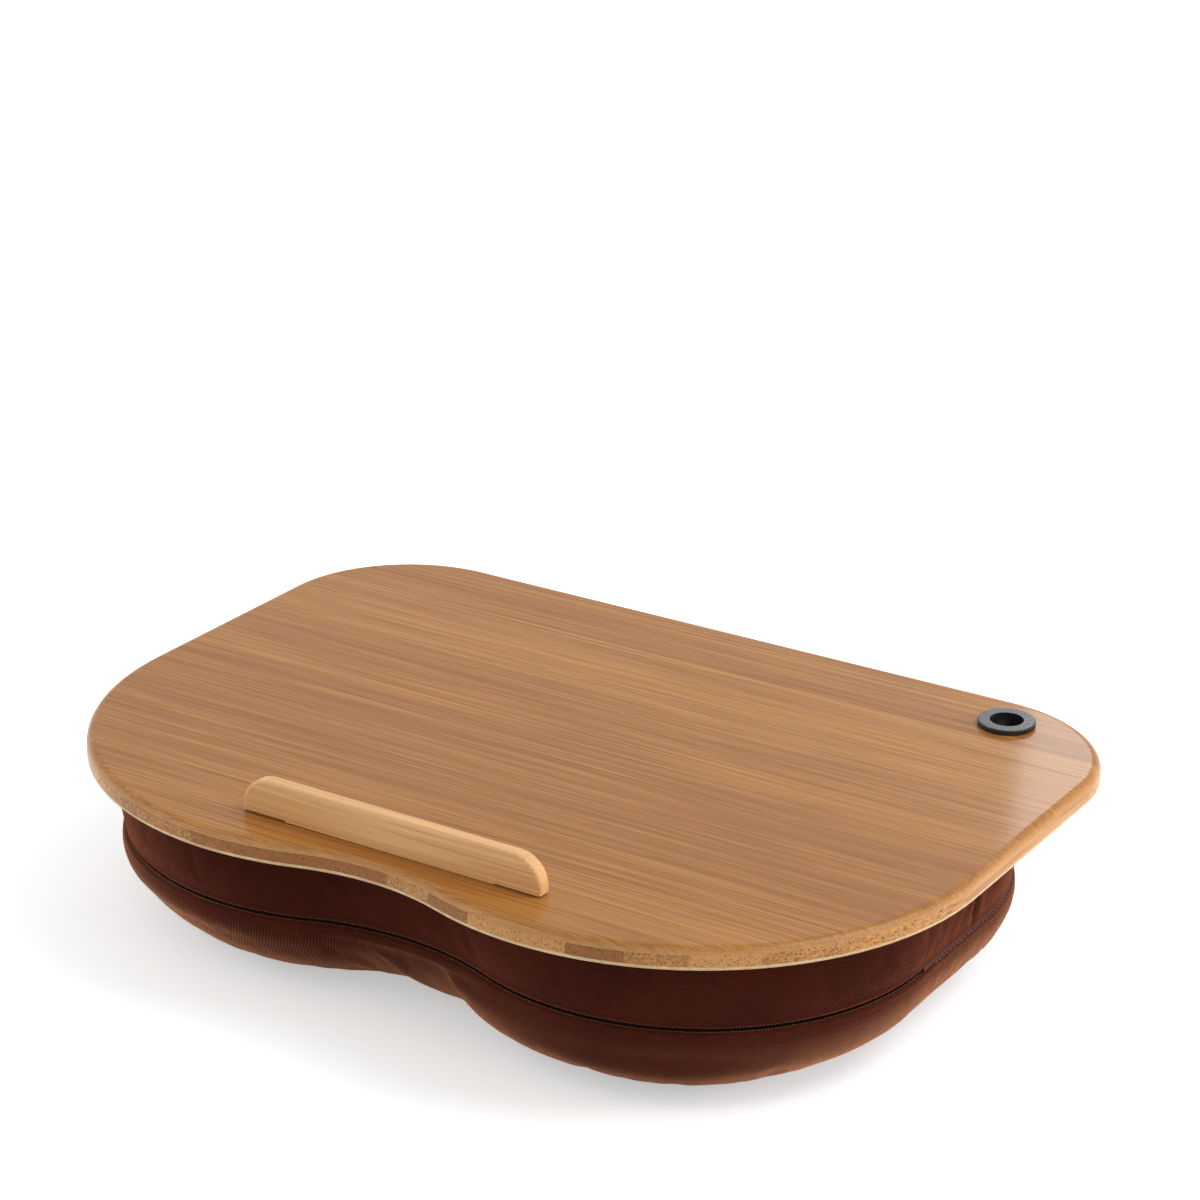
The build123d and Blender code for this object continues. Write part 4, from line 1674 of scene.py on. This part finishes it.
@dataclass(frozen=True)
class Lamp:
    """One square soft lamp, aimed at the tray, which gloss mirrors or leaves out."""

    name: str
    at: tuple[float, float, float]
    size: float
    power: float
    mirrored: bool = True

    def hang(self) -> None:
        """Makes the lamp and hangs it in its place."""
        light = bpy.data.lights.new(self.name, "AREA")
        light.shape = "SQUARE"
        light.size = self.size
        light.energy = self.power
        lamp = linked(self.name, light)
        lamp.visible_glossy = self.mirrored
        aim = (-Vector(self.at)).to_track_quat("-Z", "Y")
        lamp.matrix_world = Matrix.Translation(self.at) @ aim.to_matrix().to_4x4()


@dataclass
class Studio:
    """The white floor, the soft lamps and the camera."""

    lens: float = 102.37
    sensor: float = 36.0
    camera_at: tuple[float, float, float] = (0.66046, -1.03947, 0.62929)
    camera_axes: tuple[tuple[float, float, float], ...] = (
        (0.84721722, -0.20809779, 0.48879269),
        (0.53106699, 0.3078302, -0.78943551),
        (0.01381463, 0.92840502, 0.37131291),
    )
    camera_sees: Pair = (0.01, 50.0)
    floor_size: float = 14.0
    floor_drop: float = 0.4 * MM
    floor_colour: Colour = (0.9, 0.9, 0.9, 1.0)
    floor_roughness: float = 0.9
    floor_glow: float = 0.45
    world_light: float = 0.6
    lamps: tuple[Lamp, ...] = (
        Lamp("key_lamp", (1.1, 0.5, 1.7), size=1.2, power=18.0),
        Lamp("side_lamp", (1.5, 0.9, 0.25), size=0.8, power=18.0, mirrored=False),
        Lamp("fill_lamp", (-1.4, -1.2, 1.2), size=1.4, power=3.8),
        Lamp("left_lamp", (-1.6, -0.2, 0.2), size=0.8, power=7.0, mirrored=False),
        Lamp("back_lamp", (-0.382, 1.589, 0.81), size=0.24, power=1.2),
    )

    def seen(self, graph: Graph) -> Socket:
        """Adds nodes that give 1 to the camera and to gloss, and 0 to all other rays.

        Args:
            graph: The shader or the world that they go into.

        Returns:
            The result.
        """
        rays = graph.node("LightPath", {}).outputs
        either = {0: rays["Is Camera Ray"], 1: rays["Is Glossy Ray"]}
        return graph.node("Math", either, operation="MAXIMUM").outputs[0]

    def floor(self) -> None:
        """Lays a white floor that keeps the cushion's shadow."""
        half = self.floor_size / 2
        corners = [(x * half, y * half, -self.floor_drop) for x, y in ((-1, -1), (1, -1), (1, 1), (-1, 1))]
        piece = mesh_object("studio_floor", corners, [(0, 1, 2, 3)])
        made = Shader("studio_white")
        made.set(base_color=self.floor_colour, roughness=self.floor_roughness, specular_ior_level=0.0)
        strength = made.times(self.seen(made), self.floor_glow)
        glow = made.node("Emission", {"Color": WHITE, "Strength": strength})
        both = made.node("AddShader", {0: made.surface.outputs[0], 1: glow.outputs[0]})
        made.feed(made.output.inputs[0], both.outputs[0])
        wear(piece, made.material)

    def world(self) -> None:
        """Surrounds the scene with white, dimmer as a light than as a background."""
        world = bpy.data.worlds.new("studio_world")
        world.use_nodes = True
        world.node_tree.nodes.clear()
        graph = Graph(world.node_tree, "ShaderNode")
        level = graph.node("MapRange", {0: self.seen(graph), 3: self.world_light, 4: 1.0})
        sky = graph.node("Background", {"Color": WHITE, "Strength": level.outputs[0]})
        graph.node("OutputWorld", {0: sky.outputs[0]})
        bpy.context.scene.world = world

    def camera(self) -> None:
        """Sets up the camera at the photograph's place."""
        lens = bpy.data.cameras.new("studio_camera")
        lens.lens = self.lens
        lens.sensor_width = self.sensor
        lens.clip_start, lens.clip_end = self.camera_sees
        camera = linked("studio_camera", lens)
        camera.matrix_world = Matrix.Translation(self.camera_at) @ Matrix(self.camera_axes).to_4x4()
        bpy.context.scene.camera = camera

    def build(self) -> None:
        """Makes the whole studio."""
        self.floor()
        self.world()
        for lamp in self.lamps:
            lamp.hang()
        self.camera()
        bpy.context.scene.view_settings.view_transform = "Standard"


def main() -> None:
    """Builds the tray, the cushion and the studio in order."""
    logging.basicConfig(level=logging.INFO, format="%(name)s %(message)s")
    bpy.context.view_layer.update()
    finishes = Finishes()
    rows = RowTree()
    strips = FasteningStrips(finishes)
    Board(finishes).dress()
    cushion = Cushion(finishes, rows, strips)
    cushion.build()
    Zipper(finishes, cushion, rows).build()
    strips.build()
    Studio().build()


if __name__ == "__main__":
    main()
